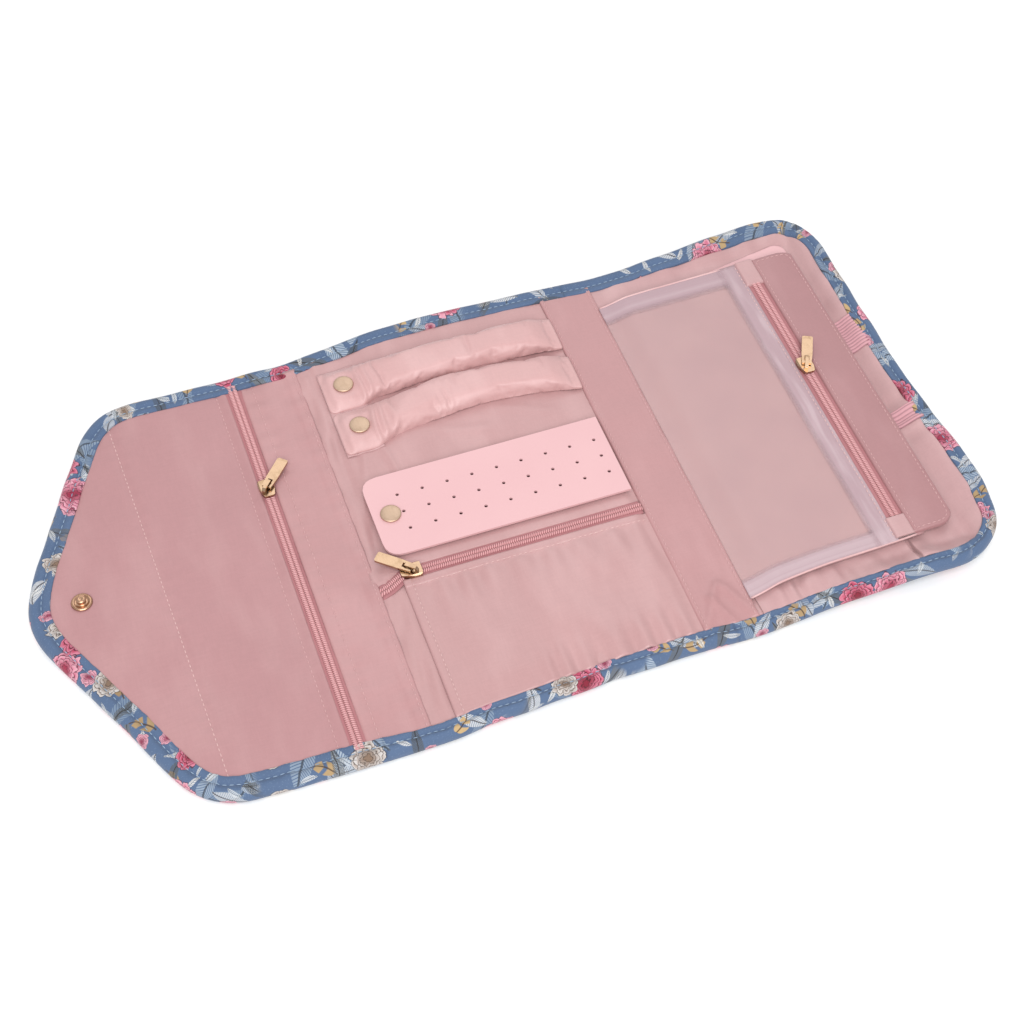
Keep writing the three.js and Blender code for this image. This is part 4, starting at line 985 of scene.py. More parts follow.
# the flap's rounded tip has its own, closer columns over this length
TIP_LENGTH = 26
flap_xs = np.concatenate([INNER_TIP + TIP_LENGTH * np.linspace(0, 1, 22)[:-1] ** 1.6,
                          steps(INNER_TIP + TIP_LENGTH, FLAP_CLOTH_END, 1.6)])
flap_face = cloth("flap_pocket_face_satin", flap_xs, np.linspace(-1, 1, 120), flap_top, DUSTY,
                  inset=SATIN_INSET, edges=["right"])
flap_length = FLAP_CLOTH_END - INNER_TIP
sewn(flap_face, "flap_fold", ["flap_pocket_face"], (flap_length, CUT_WIDTH))
inner_seam = float(half_width(np.array([SEAM_X]), RIM_WIDTH)[0]) - 1
seam_line = run_y(SEAM_X, -inner_seam, inner_seam, lambda x, y: flap_top(seam_x(y), y) + 0.1)
seam_line[:, 0] = seam_x(seam_line[:, 1])
seam("flap_pocket_seam", [settle(seam_line)], THREAD_PALE, "flap", "dusty_rose_satin")
cross_seam("flap_zip_seam", FLAP_HEM_SEAM, flap_top, "flap_fold")


def strip_top(x, y):
    """The flap spine's strip: the crowned inside with a doubled hem at the zip and a flat sewn edge on the
    middle panel, and faint pulls across it."""
    pull = 0.2 * ripple(x * 0.45, y, 21, 51)
    pull = pull + puckers(y, x - STRIP_HEM_SEAM, 9, 6, 0.2, 52)
    pull = pull + puckers(y, STRIP_EDGE_SEAM - x, 11, 8, 0.24, 53)
    raised = 0.55 * smooth(x - SPINE_FOLD + 3, 2)
    tail = 1.0 * bell(y - ZIP_TAIL, 4.5) * smooth(x - STRIP_END + 7, 5)
    return inside(x, y) + 0.4 + pull + raised + tail + 0.3 * smooth(STRIP_START + 4 - x, 2)


strip = cloth("flap_spine_satin", steps(STRIP_START, STRIP_END, 1.3), np.linspace(-1, 1, 130), strip_top,
              LIT_STRIP_SATIN, inset=SATIN_INSET, edges=["left", "right"])
sewn(strip, "flap_spine_fold", ["flap_spine_strip"], (STRIP_END - STRIP_START, CUT_WIDTH))
cross_seam("flap_spine_zip_seam", STRIP_HEM_SEAM, strip_top, "flap_spine")
cross_seam("flap_spine_edge_seam", STRIP_EDGE_SEAM, strip_top, "flap_spine_fold")

# Zips

# a coil's middle beside the zip's line and over its tape, its half width and half height, and the points of
# its section and along each tooth
COIL_OUT, COIL_UP = 1.02, 0.85
COIL_WIDE, COIL_HIGH = 1.16, 0.82
COIL_SIDES, COIL_STEPS = 10, 7
TAPE_THICK = 0.5


def zip_half(name, line, height, sign, half, by):
    """One half of a zip beside its centre line, at height(x): a flat woven tape, and a nylon coil whose
    section shrinks and swells round a helix with one turn per tooth."""
    n = inward(line)[:, None, :] * sign
    z = height(line[:, 0])
    out = np.array([0.1, 0.4, 1.4, 2.6, half - 0.5, half - 0.1, half])
    up = TAPE_THICK * np.array([0.24, 0.84, 1, 1, 1, 0.84, 0.24])
    flat = line[:, None, :] + n * out[None, :, None]
    top = np.concatenate([flat, (z[:, None] + up[None, :])[..., None]], axis=-1)
    under = top.copy()
    under[..., 2] = z[:, None]
    # the tape's darker tone is painted shade for the gutters where it lies recessed
    solid(shell(name + "_tape", settle(top), settle(under), SHADED_ZIP_TAPE), by, name)
    fine = evenly(line, TOOTH / COIL_STEPS)
    run = np.arange(len(fine)) * np.linalg.norm(fine[1] - fine[0])
    n = inward(fine)[:, None, :] * sign
    turn = ring_of(COIL_SIDES)[None, :]
    wound = run[:, None] + TOOTH * (turn * sign / (2 * math.pi) + (0.5 if sign < 0 else 0))
    swell = 0.77 - 0.23 * np.cos(2 * math.pi * wound / TOOTH)
    at = fine[:, None, :] + n * (COIL_OUT + COIL_WIDE * np.cos(turn) * swell)[..., None]
    high = height(fine[:, :1]) + COIL_UP + COIL_HIGH * np.sin(turn) * swell
    uv = np.stack([wound, 0 * wound + turn], axis=-1)
    coil = tube(name + "_coil", settle(np.concatenate([at, high[..., None]], axis=-1)), COIL, uv)
    solid(coil, by)


def zipped(name, hands, line, height, half, by):
    """Both halves of a zip: to the left of its line, then to the right, as one looks along it."""
    for hand, sign in zip(hands, (1, -1)):
        zip_half(f"{name}_zip_{hand}", line, height, sign, half, by)


def level(z):
    """The same height everywhere."""
    return lambda x: z + 0 * x


FLAP_ZIP_Z = 6.4
FLAP_ZIP_HALF = 101.5
FLAP_TAPE = 4.1
flap_line = evenly([(ZIP_X, -FLAP_ZIP_HALF), (ZIP_X, FLAP_ZIP_HALF)], 3)
zipped("flap", ("left", "right"), flap_line, level(FLAP_ZIP_Z), FLAP_TAPE, "flap_spine")

# Middle panel

ZIP_Y = -28.2
ZIP_BEND = -46.0
MIDDLE_ZIP_Z = 7.25
MIDDLE_TAPE = 3.5
POCKET_TOP = ZIP_Y - 3.1
POCKET_LEFT = -49.6
POCKET_CUT = (112, 70)


def middle_zip_y(x):
    """The middle zip runs straight, and turns down a little at its left end, left of its slider."""
    return ZIP_Y - 5.5 * smooth(ZIP_BEND - x, 14)


def crease(x, y, start, end, width, height):
    """A soft ridge along a straight line: a bell across it, which fades out past both ends."""
    start, end = np.array(start, float), np.array(end, float)
    way = (end - start) / np.linalg.norm(end - start)
    along = (x - start[0]) * way[0] + (y - start[1]) * way[1]
    off = (x - start[0]) * way[1] - (y - start[1]) * way[0]
    past = along - np.clip(along, 0, np.linalg.norm(end - start))
    return height * bell(off, width) * bell(past, 2 * width)


# the lining's creases below and between the ring bars: two ends, a width and a height each
LINING_CREASES = [((-35.5, 42), (-33.5, 27), 1.8, 0.8), ((-45, 40), (-48, 26), 2.0, 0.6),
                  ((-5, 42), (9, 38), 3.0, 0.6), ((24, 45), (40, 38), 3.0, 0.5),
                  ((-56, 92), (-55, 60), 1.8, 0.9)]


def flat_at_fold(x):
    """1 on the middle panel, fading to 0 where its cloth goes flat under the end spine's strip."""
    return smooth(MIDDLE_FOLD - 0.5 - x, 5)


def middle_top(x, y):
    """The middle lining: the crowned inside with soft folds that fan out from the ring bars' base, and a hem
    that stands over the zip's upper tape."""
    fold = 0.9 * bell(x + 55, 6) * ripple(x, y * 0.35, 10, 61)
    fold = fold + sum(crease(x, y, *ridge) for ridge in LINING_CREASES)
    drape = 0.7 * ripple(x * 0.5, y, 22, 62) * smooth(y + 20, 12)
    past = y - middle_zip_y(x)
    step = 1.1 * smooth(past - 3.0, 0.5) * (1 - smooth(past - 6, 14))
    return inside(x, y) + 0.2 + (fold + drape + step) * flat_at_fold(x)


middle_ys = np.unique(np.concatenate([np.linspace(-SATIN_HALF, SATIN_HALF, 150),
                                      ZIP_Y + np.linspace(2.4, 6, 15)]))
middle = cloth("middle_satin", np.linspace(SPINE_FOLD + 1.5, MIDDLE_FOLD + 5, 120), middle_ys, middle_top,
               LIGHT)
sewn(middle, "end_spine_fold", ["middle_lining"], (MIDDLE_FOLD - SPINE_FOLD + 3.5, CUT_WIDTH))

middle_xs = np.linspace(SPINE_FOLD + 0.6, MIDDLE_FOLD - 1, 90)
middle_line = np.stack([middle_xs, middle_zip_y(middle_xs)], axis=1)


def middle_zip_z(x):
    """The middle zip's height: level, and down under the spine's strip at its left end."""
    return MIDDLE_ZIP_Z - 1.5 * smooth(STRIP_END + 1.5 - x, 3)


zipped("middle", ("upper", "lower"), middle_line, middle_zip_z, MIDDLE_TAPE, "middle")


def pocket_top(x, y):
    """The middle pocket's face: a doubled hem along the zip, gathers that run down from it and fade, a sewn
    left edge, and a slack belly."""
    down, right = POCKET_TOP - y, x - POCKET_LEFT
    gather = (puckers(x, down - 4, 12.3, 15, 0.6, 71) * smooth(down - 2, 5)
              + puckers(x, y + 99, 10.5, 13, 1.1, 73) * smooth(x + 20, 30))
    gather = gather * smooth(right, 12)
    belly = 0.7 * smooth(down, 20) * smooth(right, 25) * smooth(MIDDLE_FOLD - x, 20) * smooth(y + 101, 12)
    slack = 0.55 * ripple(x, y * 0.6, 27, 72) * smooth(down, 8)
    doubled = 0.5 * (1 - smooth(down - 3.4, 0.8)) + 0.35 * (1 - smooth(right - 3.2, 0.8))
    return inside(x, y) + 0.75 + (gather + belly + slack + doubled + 0.5) * flat_at_fold(x)


# closer rows and columns beside the pocket's hem and its sewn left edge
POCKET_HEM_ROWS = np.array([5, 4.3, 3.8, 3.3, 2.6, 2, 1.4, 0.9, 0.5, 0.2, 0])
POCKET_EDGE_COLUMNS = np.array([0, 0.2, 0.5, 0.9, 1.5, 2.2, 2.9, 3.4, 3.9, 4.6])
pocket_ys = np.concatenate([np.linspace(-SATIN_HALF, POCKET_TOP - 6, 56), POCKET_TOP - POCKET_HEM_ROWS])
pocket_xs = np.concatenate([POCKET_LEFT + POCKET_EDGE_COLUMNS,
                            np.linspace(POCKET_LEFT + 5.6, MIDDLE_FOLD + 1, 96)])
pocket = cloth("middle_pocket_satin", pocket_xs, pocket_ys, pocket_top, LIGHT, 0.9, edges=["left", "far"])
sewn(pocket, "end_spine_fold", ["middle_pocket_face"], POCKET_CUT)
seam("middle_pocket_seam", [
    run_x(POCKET_LEFT + 3, MIDDLE_FOLD - 1, POCKET_TOP - 3.9, over(pocket_top, 0.08)),
    settle(run_y(POCKET_LEFT + 3.7, -SEAM_HALF, POCKET_TOP - 2, over(pocket_top, 0.08))),
], THREAD_PALE, "end_spine_fold", "light_satin")

# Ring bars and earring plate

BAR_START = box("ring_bar_1")[0][0]
BAR_END = MIDDLE_FOLD - 0.6
BAR_SNAP = BAR_START + 9.2
BAR_FOOT = PANEL + 0.5
BASE_NEAR, BASE_FAR = (corner[1] for corner in box("ring_bar_base"))
BASE_LEFT = BAR_START - 0.6
BASE_LENGTH = 17.6


def base_top(x, y):
    """The bars' base cloth, flat on the lining with a turned left edge."""
    return middle_top(x, y) + 0.65 + 0.3 * (1 - smooth(x - BAR_START - 3, 0.8))


base = cloth("ring_bar_base_satin", steps(BASE_LEFT, BASE_LEFT + BASE_LENGTH, 1.2),
             steps(BASE_NEAR, BASE_FAR, 1.4), base_top, LIGHT, edges=["left", "near", "far"])
sewn(base, "middle", ["ring_bar_base"], (BASE_LENGTH, BASE_FAR - BASE_NEAR))
seam("ring_bar_base_seam", [run_y(BAR_START + 2.2, BASE_NEAR + 1, BASE_FAR - 1, over(base_top))],
     THREAD_PALE, "middle", "light_satin")


# the folds that the cloth throws between a bar's snap and its stuffing: how far past the snap, width, height
BAR_FOLDS = ((7.2, 1.1, 1.5), (11.0, 1.3, 1.3), (15.5, 1.9, 0.6))
BAR_TAB_HALF = 12.2
BAR_TAB_THICK = 1.3
BAR_TAB_RISE = 2.6
BAR_TAB_DROOP = 2.5
BAR_TOP = 5.2
BAR_PLEAT = 3.4
# how a bar settles: its spare cloth, the stuffing's pressure, the most that a point moves, and how far
# below its foot it may go
BAR_SLACK = (0.02, 0.07)
BAR_PRESS = 0.6
BAR_MOVE = 1.4
BAR_SINK = 0.6
SETTLE_SCALE = 10
SETTLE_STEPS = 30


def weigh(made, name, shares):
    """A vertex group with a weight per point, in steps of a tenth."""
    weights = made.vertex_groups.new(name=name)
    shares = np.round(shares, 1)
    for share in np.unique(shares):
        weights.add([int(i) for i in np.flatnonzero(shares == share)], float(share), "REPLACE")


def puffed(points, faces, held, spare):
    """Points of a stuffed cloth piece after it has settled: its cloth is cut larger by the first to the
    second share of BAR_SLACK as spare goes from 0 to 1, the stuffing presses out, points are held back as
    held goes from 0 to 1, and the spare cloth buckles into creases. It settles at SETTLE_SCALE times its
    size, which is steadier; then a point keeps at most BAR_MOVE of its move, and none goes far below the
    foot."""
    flat = np.asarray(points, float).reshape(-1, 3)
    made = piece("settling", flat * SETTLE_SCALE, faces, LIGHT)
    weigh(made, "held", held)
    weigh(made, "spare", spare)
    settling = made.modifiers.new("settling", "CLOTH")
    rules = settling.settings
    rules.quality = 6
    rules.mass = 0.2
    rules.air_damping = 3.0
    rules.tension_stiffness = rules.compression_stiffness = 18.0
    rules.shear_stiffness = 6.0
    rules.bending_stiffness = 0.35
    rules.vertex_group_mass = "held"
    rules.vertex_group_shrink = "spare"
    rules.shrink_min, rules.shrink_max = -BAR_SLACK[0], -BAR_SLACK[1]
    rules.use_pressure = True
    rules.uniform_pressure_force = BAR_PRESS
    rules.effector_weights.gravity = 0.0
    settling.collision_settings.use_collision = False
    settling.point_cache.frame_start, settling.point_cache.frame_end = 1, SETTLE_STEPS
    scene = bpy.context.scene
    for step in range(1, SETTLE_STEPS + 1):
        scene.frame_set(step)
    after = np.empty(flat.size, np.float32)
    made.evaluated_get(bpy.context.evaluated_depsgraph_get()).data.vertices.foreach_get("co", after)
    scene.frame_set(1)
    mesh = made.data
    bpy.data.objects.remove(made)
    bpy.data.meshes.remove(mesh)
    move = after.reshape(-1, 3).astype(float) / MM / SETTLE_SCALE - flat
    far = np.linalg.norm(move, axis=1, keepdims=True)
    flat = flat + move * np.minimum(1, BAR_MOVE / np.maximum(far, 1e-6))
    flat[:, 2] = np.maximum(flat[:, 2], BAR_FOOT - BAR_SINK)
    return flat.reshape(np.shape(points))


def ring_bar(number, y, bow, half, pinches, seed):
    """A padded bar: a rounded section carried along X. It starts as a flat tab whose sides droop and whose
    cloth swells round the snap, rises over a short pleated slope into a stuffed tube that bows to the far
    side, and flattens to its sewn end. A few short pleats cross its near side at pinches. Then it settles
    as cloth that is held at its tab, its sewn end and its foot."""
    rows, sides = 150, 52
    x = np.linspace(BAR_START - 0.5, BAR_END, rows)[:, None]
    turn = ring_of(sides)[None, :]
    c, s = np.cos(turn), np.sin(turn)
    aside = np.sign(c) * np.abs(c) ** 0.6
    up = np.where(s > 0, np.abs(s) ** 0.52, -0.14 * np.abs(s) ** 0.62)
    grown = smooth(x - BAR_SNAP - 4, 10)
    closed = 1 - smooth(BAR_END - x, 13)
    wide = (BAR_TAB_HALF + (half - BAR_TAB_HALF) * grown) * (0.82 + 0.18 * hem(x - BAR_START + 0.5, 3.0))
    off = (wide + 0.35 * ripple(x, 0 * x + y, 27, seed) * grown) * aside
    thick = BAR_TAB_THICK + (BAR_TOP - BAR_TAB_THICK) * grown * (1 - 0.84 * closed)
    bent = np.clip((x - BAR_SNAP - 6) / (BAR_END - BAR_SNAP - 6), 0, 1)
    middle_y = y + bow * np.sin(math.pi * bent)
    away = np.hypot(x - BAR_SNAP, off)
    rays = 1 + 0.4 * np.cos(9 * np.arctan2(off, x - BAR_SNAP) + seed)
    swell = (0.5 * bell(away - 7.6, 2.4) * rays - 0.4 * bell(away, 4.6)) * (1 - grown)
    pleat = 0
    for at, wide_at, tall in BAR_FOLDS:
        lean = 1.6 * ripple(9 * aside, 0 * x + at, 21, seed)
        pleat = pleat + tall * bell(x - BAR_SNAP - at - lean, wide_at)
    for at in pinches:
        bent_in = x - at - 1.2 * ripple(9 * aside, 0 * x, 17, seed + 2)
        short = bell(bent_in, 3.2) * np.cos(2 * math.pi * bent_in / BAR_PLEAT)
        pleat = pleat + 0.4 * short * smooth(0.2 - aside, 0.9)
    loose = 0.3 * grown * ripple(x, aside * 9, 24, seed + 1)
    most = BAR_TAB_DROOP * (1 - grown)
    droop = np.minimum(most * np.abs(aside) ** 3.2 + 2.2 * (1 - smooth(x - BAR_START, 4)), most)
    foot = BAR_FOOT + BAR_TAB_RISE * (1 - grown) - droop
    high = foot + up * thick + (swell + pleat + loose) * np.clip(s, 0, 1)
    rings = np.stack([x + 0 * turn, middle_y + off, high], axis=-1)
    held = np.maximum(1 - smooth(x - BAR_SNAP - 8, 9), smooth(x - BAR_END + 5, 4))
    held = np.maximum(held, (s < 0) * smooth(0.95 - np.abs(aside), 0.2))
    spare = bell(x - BAR_SNAP - 16, 9) + 0 * turn
    rings = puffed(rings, tube_faces(rows, sides), held.ravel(), spare.ravel())
    name = f"ring_bar_{number}"
    # the bars' satin is painted lighter than the lining: painted light on the raised bars
    made = tube(name + "_satin", rings, LIT_BAR_SATIN)
    across(made, name + "_lift", "middle", name, BAR_END - 1, BAR_END - 14)
    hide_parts(name)


ring_bar(1, 79.7, 2.5, 9.5, [], 81)
ring_bar(2, 54.2, 6.2, 10.0, [-3.0], 91)


# a low domed snap cap with a round edge, its neck through the cloth and the socket under it
CAP_PROFILE = [(0, -1.1), (1.2, -1.1), (3.4, -1.15), (3.7, -0.8), (3.7, -0.3), (1.9, -0.25), (1.9, 1.3),
               (4.2, 1.3), (4.5, 1.4), (4.6, 1.6), (4.6, 1.95), (4.5, 2.15), (4.2, 2.26), (3.4, 2.38),
               (2.0, 2.5), (0, 2.56)]
CAP_LIFT = np.array([0, 0, 1.2])


def place_of(node):
    """The middle of a node's box in x and y, and its lowest height."""
    low, high = box(node)
    return np.array([(low[0] + high[0]) / 2, (low[1] + high[1]) / 2, low[2]])


for body in ("ring_bar_1", "ring_bar_2", "earring_plate"):
    node = body + "_snap_cap"
    solid(turned(body + "_cap", CAP_PROFILE, place_of(node) + CAP_LIFT, CAP), body, node)
    dress(body + "_snap_stud", GOLD)
dress("earring_plate", PLATE)

# the pierced holes: rows across the plate and columns along it, with the same pitches as the plate's own
HOLE_RADIUS = 0.8
HOLE_SIDES = 10
HOLE_ROWS = 3
HOLE_COLUMNS = 9
HOLE_PITCH_X = 11.5
HOLE_PITCH_Y = 9.5
HOLES_FROM_END = 5.6
HOLE_CLEAR_OF_SNAP = 5.4
HOLE_FROM_CORNER = 8.0
# a hole's painted shade, a dark disc: how far it goes into the hole's wall, and its two heights over the
# plate's underside
SHADE_DISC_PAST = 0.1
SHADE_DISC_Z = (0.12, 0.4)


def hole_shade_discs(name):
    """A dark disc just inside the plate's underside in each pierced hole: painted shade in the hole."""
    low, high = box("earring_plate")
    row, column = np.meshgrid(np.arange(HOLE_ROWS), np.arange(HOLE_COLUMNS), indexing="ij")
    x = high[0] - HOLES_FROM_END - column.ravel() * HOLE_PITCH_X
    y = (low[1] + high[1]) / 2 + (row.ravel() - (HOLE_ROWS - 1) / 2) * HOLE_PITCH_Y
    snap = place_of("earring_plate_snap_cap")
    kept = (np.hypot(x - snap[0], y - snap[1]) >= HOLE_CLEAR_OF_SNAP) & (x >= low[0] + HOLE_FROM_CORNER)
    at = np.stack([x[kept], y[kept], 0 * x[kept] + low[2]], axis=1)
    turn, n = ring_of(HOLE_SIDES), HOLE_SIDES
    ring = (HOLE_RADIUS + SHADE_DISC_PAST) * np.stack([np.cos(turn), np.sin(turn), 0 * turn], axis=1)
    disc = np.concatenate([ring + np.array([0, 0, z]) for z in SHADE_DISC_Z])
    points = (at[:, None] + disc[None]).reshape(-1, 3)
    starts = np.arange(len(at))[:, None, None] * 2 * n
    wall = (quads(2, n, around=True)[None] + starts).reshape(-1, 4)
    caps = (np.stack([np.arange(n), np.arange(n, 2 * n)[::-1]])[None] + starts).reshape(-1, n)
    return piece(name, points, [wall, caps], HOLE_SHADE)


# dark discs of painted shade in the plate's pierced holes
solid(hole_shade_discs("earring_plate_hole_shade"), "earring_plate")
for zip_name in ("flap", "middle", "page"):
    dress(zip_name + "_slider", GOLD)
    dress(zip_name + "_pull_tab", GOLD)

# Flap snap and its socket

STUD_PROFILE = [(0, 0), (3.0, 0), (4.4, 0.0), (4.6, 0.3), (4.3, 0.75), (3.7, 1.0), (3.2, 0.8), (2.9, 0.5),
                (2.0, 0.5), (1.7, 0.8), (1.75, 1.5), (2.1, 2.0), (2.05, 2.5), (1.6, 2.9), (1.0, 3.0),
                (0.5, 2.8), (0, 2.7)]
RIVET_PROFILE = [(0, 0.0), (1.6, 0.02), (3.4, 0.15), (4.7, 0.5), (5.4, 1.0), (5.5, 1.5), (5.2, 1.8),
                 (1.4, 1.8), (1.4, 6.6), (0, 6.6)]
for name, profile, material in (("stud", STUD_PROFILE, ROSE_GOLD), ("rivet", RIVET_PROFILE, GOLD)):
    node = "flap_snap_" + name
    solid(turned("flap_" + name, profile, place_of(node), material), "flap", node)
dress("end_snap_socket", GOLD)

# End spine and end panel

END_STRIP = (MIDDLE_FOLD - 0.5, END_FOLD + 0.3)
END_STRIP_SEAM = 1.8
# creases at the strip's near end: two ends, a width and a height each
STRIP_CREASES = [((64, -99), (74, -80), 2.0, 1.0), ((75, -100), (70, -86), 1.7, 0.8),
                 ((84, -98), (78, -82), 1.9, 0.9)]
# the strip's halves meet in a sliver of a column, so that the light runs on over their joint
SLIVER = 0.03


def end_strip_top(x, y):
    """The end spine's strip: nearly flat, its two sewn edges lying over the panels beside it."""
    pull = 0.16 * ripple(x * 0.4, y, 19, 101)
    pull = pull + sum(crease(x, y, *ridge) for ridge in STRIP_CREASES)
    lap = 0.5 * smooth(np.abs(x - sum(END_STRIP) / 2) - 9, 3)
    return inside(x, y) + 0.75 + pull + lap


strip_xs = steps(*END_STRIP, 1.3)
strip_left = np.append(strip_xs[strip_xs < END_CUT - 0.2], [END_CUT - SLIVER, END_CUT])
strip_right = np.append([END_CUT, END_CUT + SLIVER], strip_xs[strip_xs > END_CUT + 0.2])
for hand, fold, xs, at, nodes in (
        ("left", "end_spine_fold", strip_left, END_STRIP[0] + END_STRIP_SEAM, ["end_spine_strip"]),
        ("right", "end_fold", strip_right, END_STRIP[1] - END_STRIP_SEAM, [])):
    half_strip = cloth("end_spine_satin_" + hand, xs, np.linspace(-1, 1, 180) * SATIN_HALF, end_strip_top,
                       LIT_STRIP_SATIN, 0.8, edges=[hand])
    sewn(half_strip, fold, nodes, (xs[-1] - xs[0], CUT_WIDTH))
    cross_seam("end_spine_seam_" + hand, at, end_strip_top, fold)


NECK_LOW, NECK_HIGH = box("necklace_pocket")
NECK_X = (NECK_LOW[0], NECK_HIGH[0] + 1.5)
NECK_Y = (-SATIN_HALF, NECK_HIGH[1])
NECK_PLEATS = 109.0
NECK_SLIT = 2.0
NECK_LIP = 2.6
BAND_PINCH = sum(corner[1] for corner in box("narrow_elastic_band")) / 2


def end_top(x, y):
    """The end panel's lining: the crowned inside with soft folds along its edges, drawn down beside the
    narrow band, and a raised lip past the slit of the necklace pocket's mouth."""
    fold = 0.75 * ripple(x, y * 0.5, 15, 111) * smooth(np.abs(y) - 84, 8)
    fold = fold + 0.55 * ripple(x * 0.5, y, 15, 112) * smooth(x - 181, 7)
    off = y - BAND_PINCH
    pinch = 1.1 * bell(off, 11) * np.cos(off * 2 * math.pi / 10.5) * smooth(x - 183, 6)
    past = x - NECK_X[1] - NECK_SLIT
    lip = NECK_LIP * smooth(past + 0.5, 0.5) * (1 - smooth(past, 12)) * bell(y + 94, 8)
    return inside(x, y) + 0.15 + fold - pinch + lip


END_START = END_FOLD - 4
end_xs = np.unique(np.concatenate([np.linspace(END_START, INNER_END, 80),
                                   NECK_X[1] + np.linspace(0, 3.2, 17)]))
end_lining = cloth("end_satin", end_xs, np.linspace(-1, 1, 130), end_top, PINK, inset=SATIN_INSET)
sewn(end_lining, "end_fold", ["end_lining"], (INNER_END - END_START, CUT_WIDTH))

BAND_THICK = 0.45
BAND_RIB = 0.42
BAND_SLACK = 1.15


def band_piece(name, node):
    """A ribbed elastic band across the end panel: its ribs are rounded ridges along its length."""
    low, high = box(node)
    y0, y1 = low[1], high[1]
    ys = np.linspace(y0, y1, max(30, round((y1 - y0) * 6)))
    xs = np.concatenate([np.linspace(low[0], 178, 12), np.linspace(180, INNER_END, 16)])
    x, y = np.meshgrid(xs, ys, indexing="ij")
    rib = BAND_RIB * np.abs(np.sin((y - y0) * math.pi / ELASTIC_RIB))
    z = np.maximum(end_top(x, y) + 0.35, low[2] * (1 - smooth(x - 183, 10))) + 0.4 + rib
    z = z - 0.5 * (1 - hem(np.minimum(y - y0, y1 - y), 0.5))
    top = settle(np.stack([x, y, z], axis=-1))
    uv = np.tile(np.stack([x, y - y0], axis=-1).reshape(-1, 2), (2, 1))
    made = shell(name, top, top - np.array([0, 0, BAND_THICK]), ELASTIC, uv)
    sewn(made, "end_panel", [node], (high[0] - low[0], (y1 - y0) * BAND_SLACK))


band_piece("wide_band", "wide_elastic_band")
band_piece("narrow_band", "narrow_elastic_band")

CARD_CORNER = 6.0
CARD_ASKEW = 9.0
CARD_OUT = 2.4
CARD_THICK = 0.9
CARD_HEM = 0.5


def corner_in(t, radius):
    """How far an edge is cut back by a round corner, at a share t of the corner from its start to its end."""
    t = np.clip(t, 0, 1)
    return radius * (1 - np.sqrt(np.clip(1 - t * t, 0, 1)))


def card_sheet():
    """The necklace card: a thin sheet with round corners that lies a little askew on the lining and bends up
    with it, so that one corner shows past the page."""
    (x0, y0, z0), (x1, y1, _) = box("necklace_card")
    x, v = np.meshgrid(steps(x0, x1, 2.0), steps(0, 1, 0.02, (0, 0.002, 0.005, 0.009)), indexing="ij")
    from_side = np.minimum(x - x0, x1 - x)
    cut = corner_in(1 - from_side / CARD_CORNER, CARD_CORNER)
    wide = y1 - y0 - 2 * cut
    y = y0 + cut + v * wide + CARD_OUT - CARD_ASKEW * (x1 - x) / (x1 - x0)
    share = hem(from_side, CARD_HEM) * hem(np.minimum(v, 1 - v) * wide, CARD_HEM)
    low = np.maximum(end_top(x, y), z0) + 0.1
    top = low + CARD_THICK * np.maximum(share, 0.08)
    return shell("necklace_card_sheet", settle(np.stack([x, y, top], axis=-1)),
                 settle(np.stack([x, y, low], axis=-1)), PLATE)


solid(card_sheet(), "end_panel", "necklace_card")


def neck_top(x, y):
    """The gathered necklace pocket: puckers that run up from the rim, deepest at its pleats, and die out
    towards its opening, and a mouth that stands open at its right end."""
    pucker = np.sin(x * 2 * math.pi / 9.3 + 1.6 * ripple(x, y, 22, 121))
    near = bell(y + 95, 9) * (0.28 + 0.75 * bell(x - NECK_PLEATS, 9))
    mouth = 1.5 * bell(NECK_X[1] - x, 4) * bell(y + 93, 9)
    return end_top(x, y) + 0.75 + mouth + near * (1 + pucker) * smooth(NECK_X[1] - x, 6)


neck = cloth("necklace_pocket_satin", steps(*NECK_X, 1.2), steps(*NECK_Y, 1.6), neck_top, PINK,
             edges=["right", "far"])
sewn(neck, "end_fold", ["necklace_pocket"], (NECK_X[1] - NECK_X[0], NECK_Y[1] - NECK_Y[0]))

# Page

_, PAGE_HALF, PAGE_TOP = box("page_back")[1]
PAGE_STRIP, PAGE_END = (corner[0] for corner in box("page_end_strip"))
WINDOW_X, WINDOW_Y, _ = box("page_window")[1]
BORDER_X = box("page_border")[1][0]
PAGE_ZIP_X = (BORDER_X + PAGE_STRIP) / 2
PAGE_BACK_END = PAGE_STRIP + 5
FILM_PAST = 3
PAGE_LEAN = 5.5
PAGE_DROP = 3.0


def page_xs(start, end, count):
    """Columns of a page sheet: close beside its seam, where it bends, then count more from start to end."""
    return np.concatenate([np.linspace(PAGE_SEAM, 98, 14), np.linspace(start, end, count)])


def page_lean(x, y):
    """The page's sheets lie a little slack: their near edge runs out towards the seam."""
    past = np.clip((x - PAGE_SEAM) / (PAGE_END - PAGE_SEAM), 0, 1)
    return y - PAGE_LEAN * smooth(-y, PAGE_HALF) * (1 - past)


def page_top(x, y):
    """The page's back sheet: it rises from its seam beside the spine to lie on what is under it."""
    rise = -PAGE_DROP * (1 - smooth(x - PAGE_SEAM, 15))
    return PAGE_TOP + rise + 0.18 * ripple(x, y, 50, 131) * smooth(x - 92, 10)


page_back = cloth("page_back_satin", page_xs(100, PAGE_BACK_END, 34), np.linspace(-PAGE_HALF, PAGE_HALF, 70),
                  page_top, DUSTY, 0.45, lean=page_lean)
sewn(page_back, "page_turn", ["page_back"], (PAGE_BACK_END - PAGE_SEAM, 2 * PAGE_HALF))


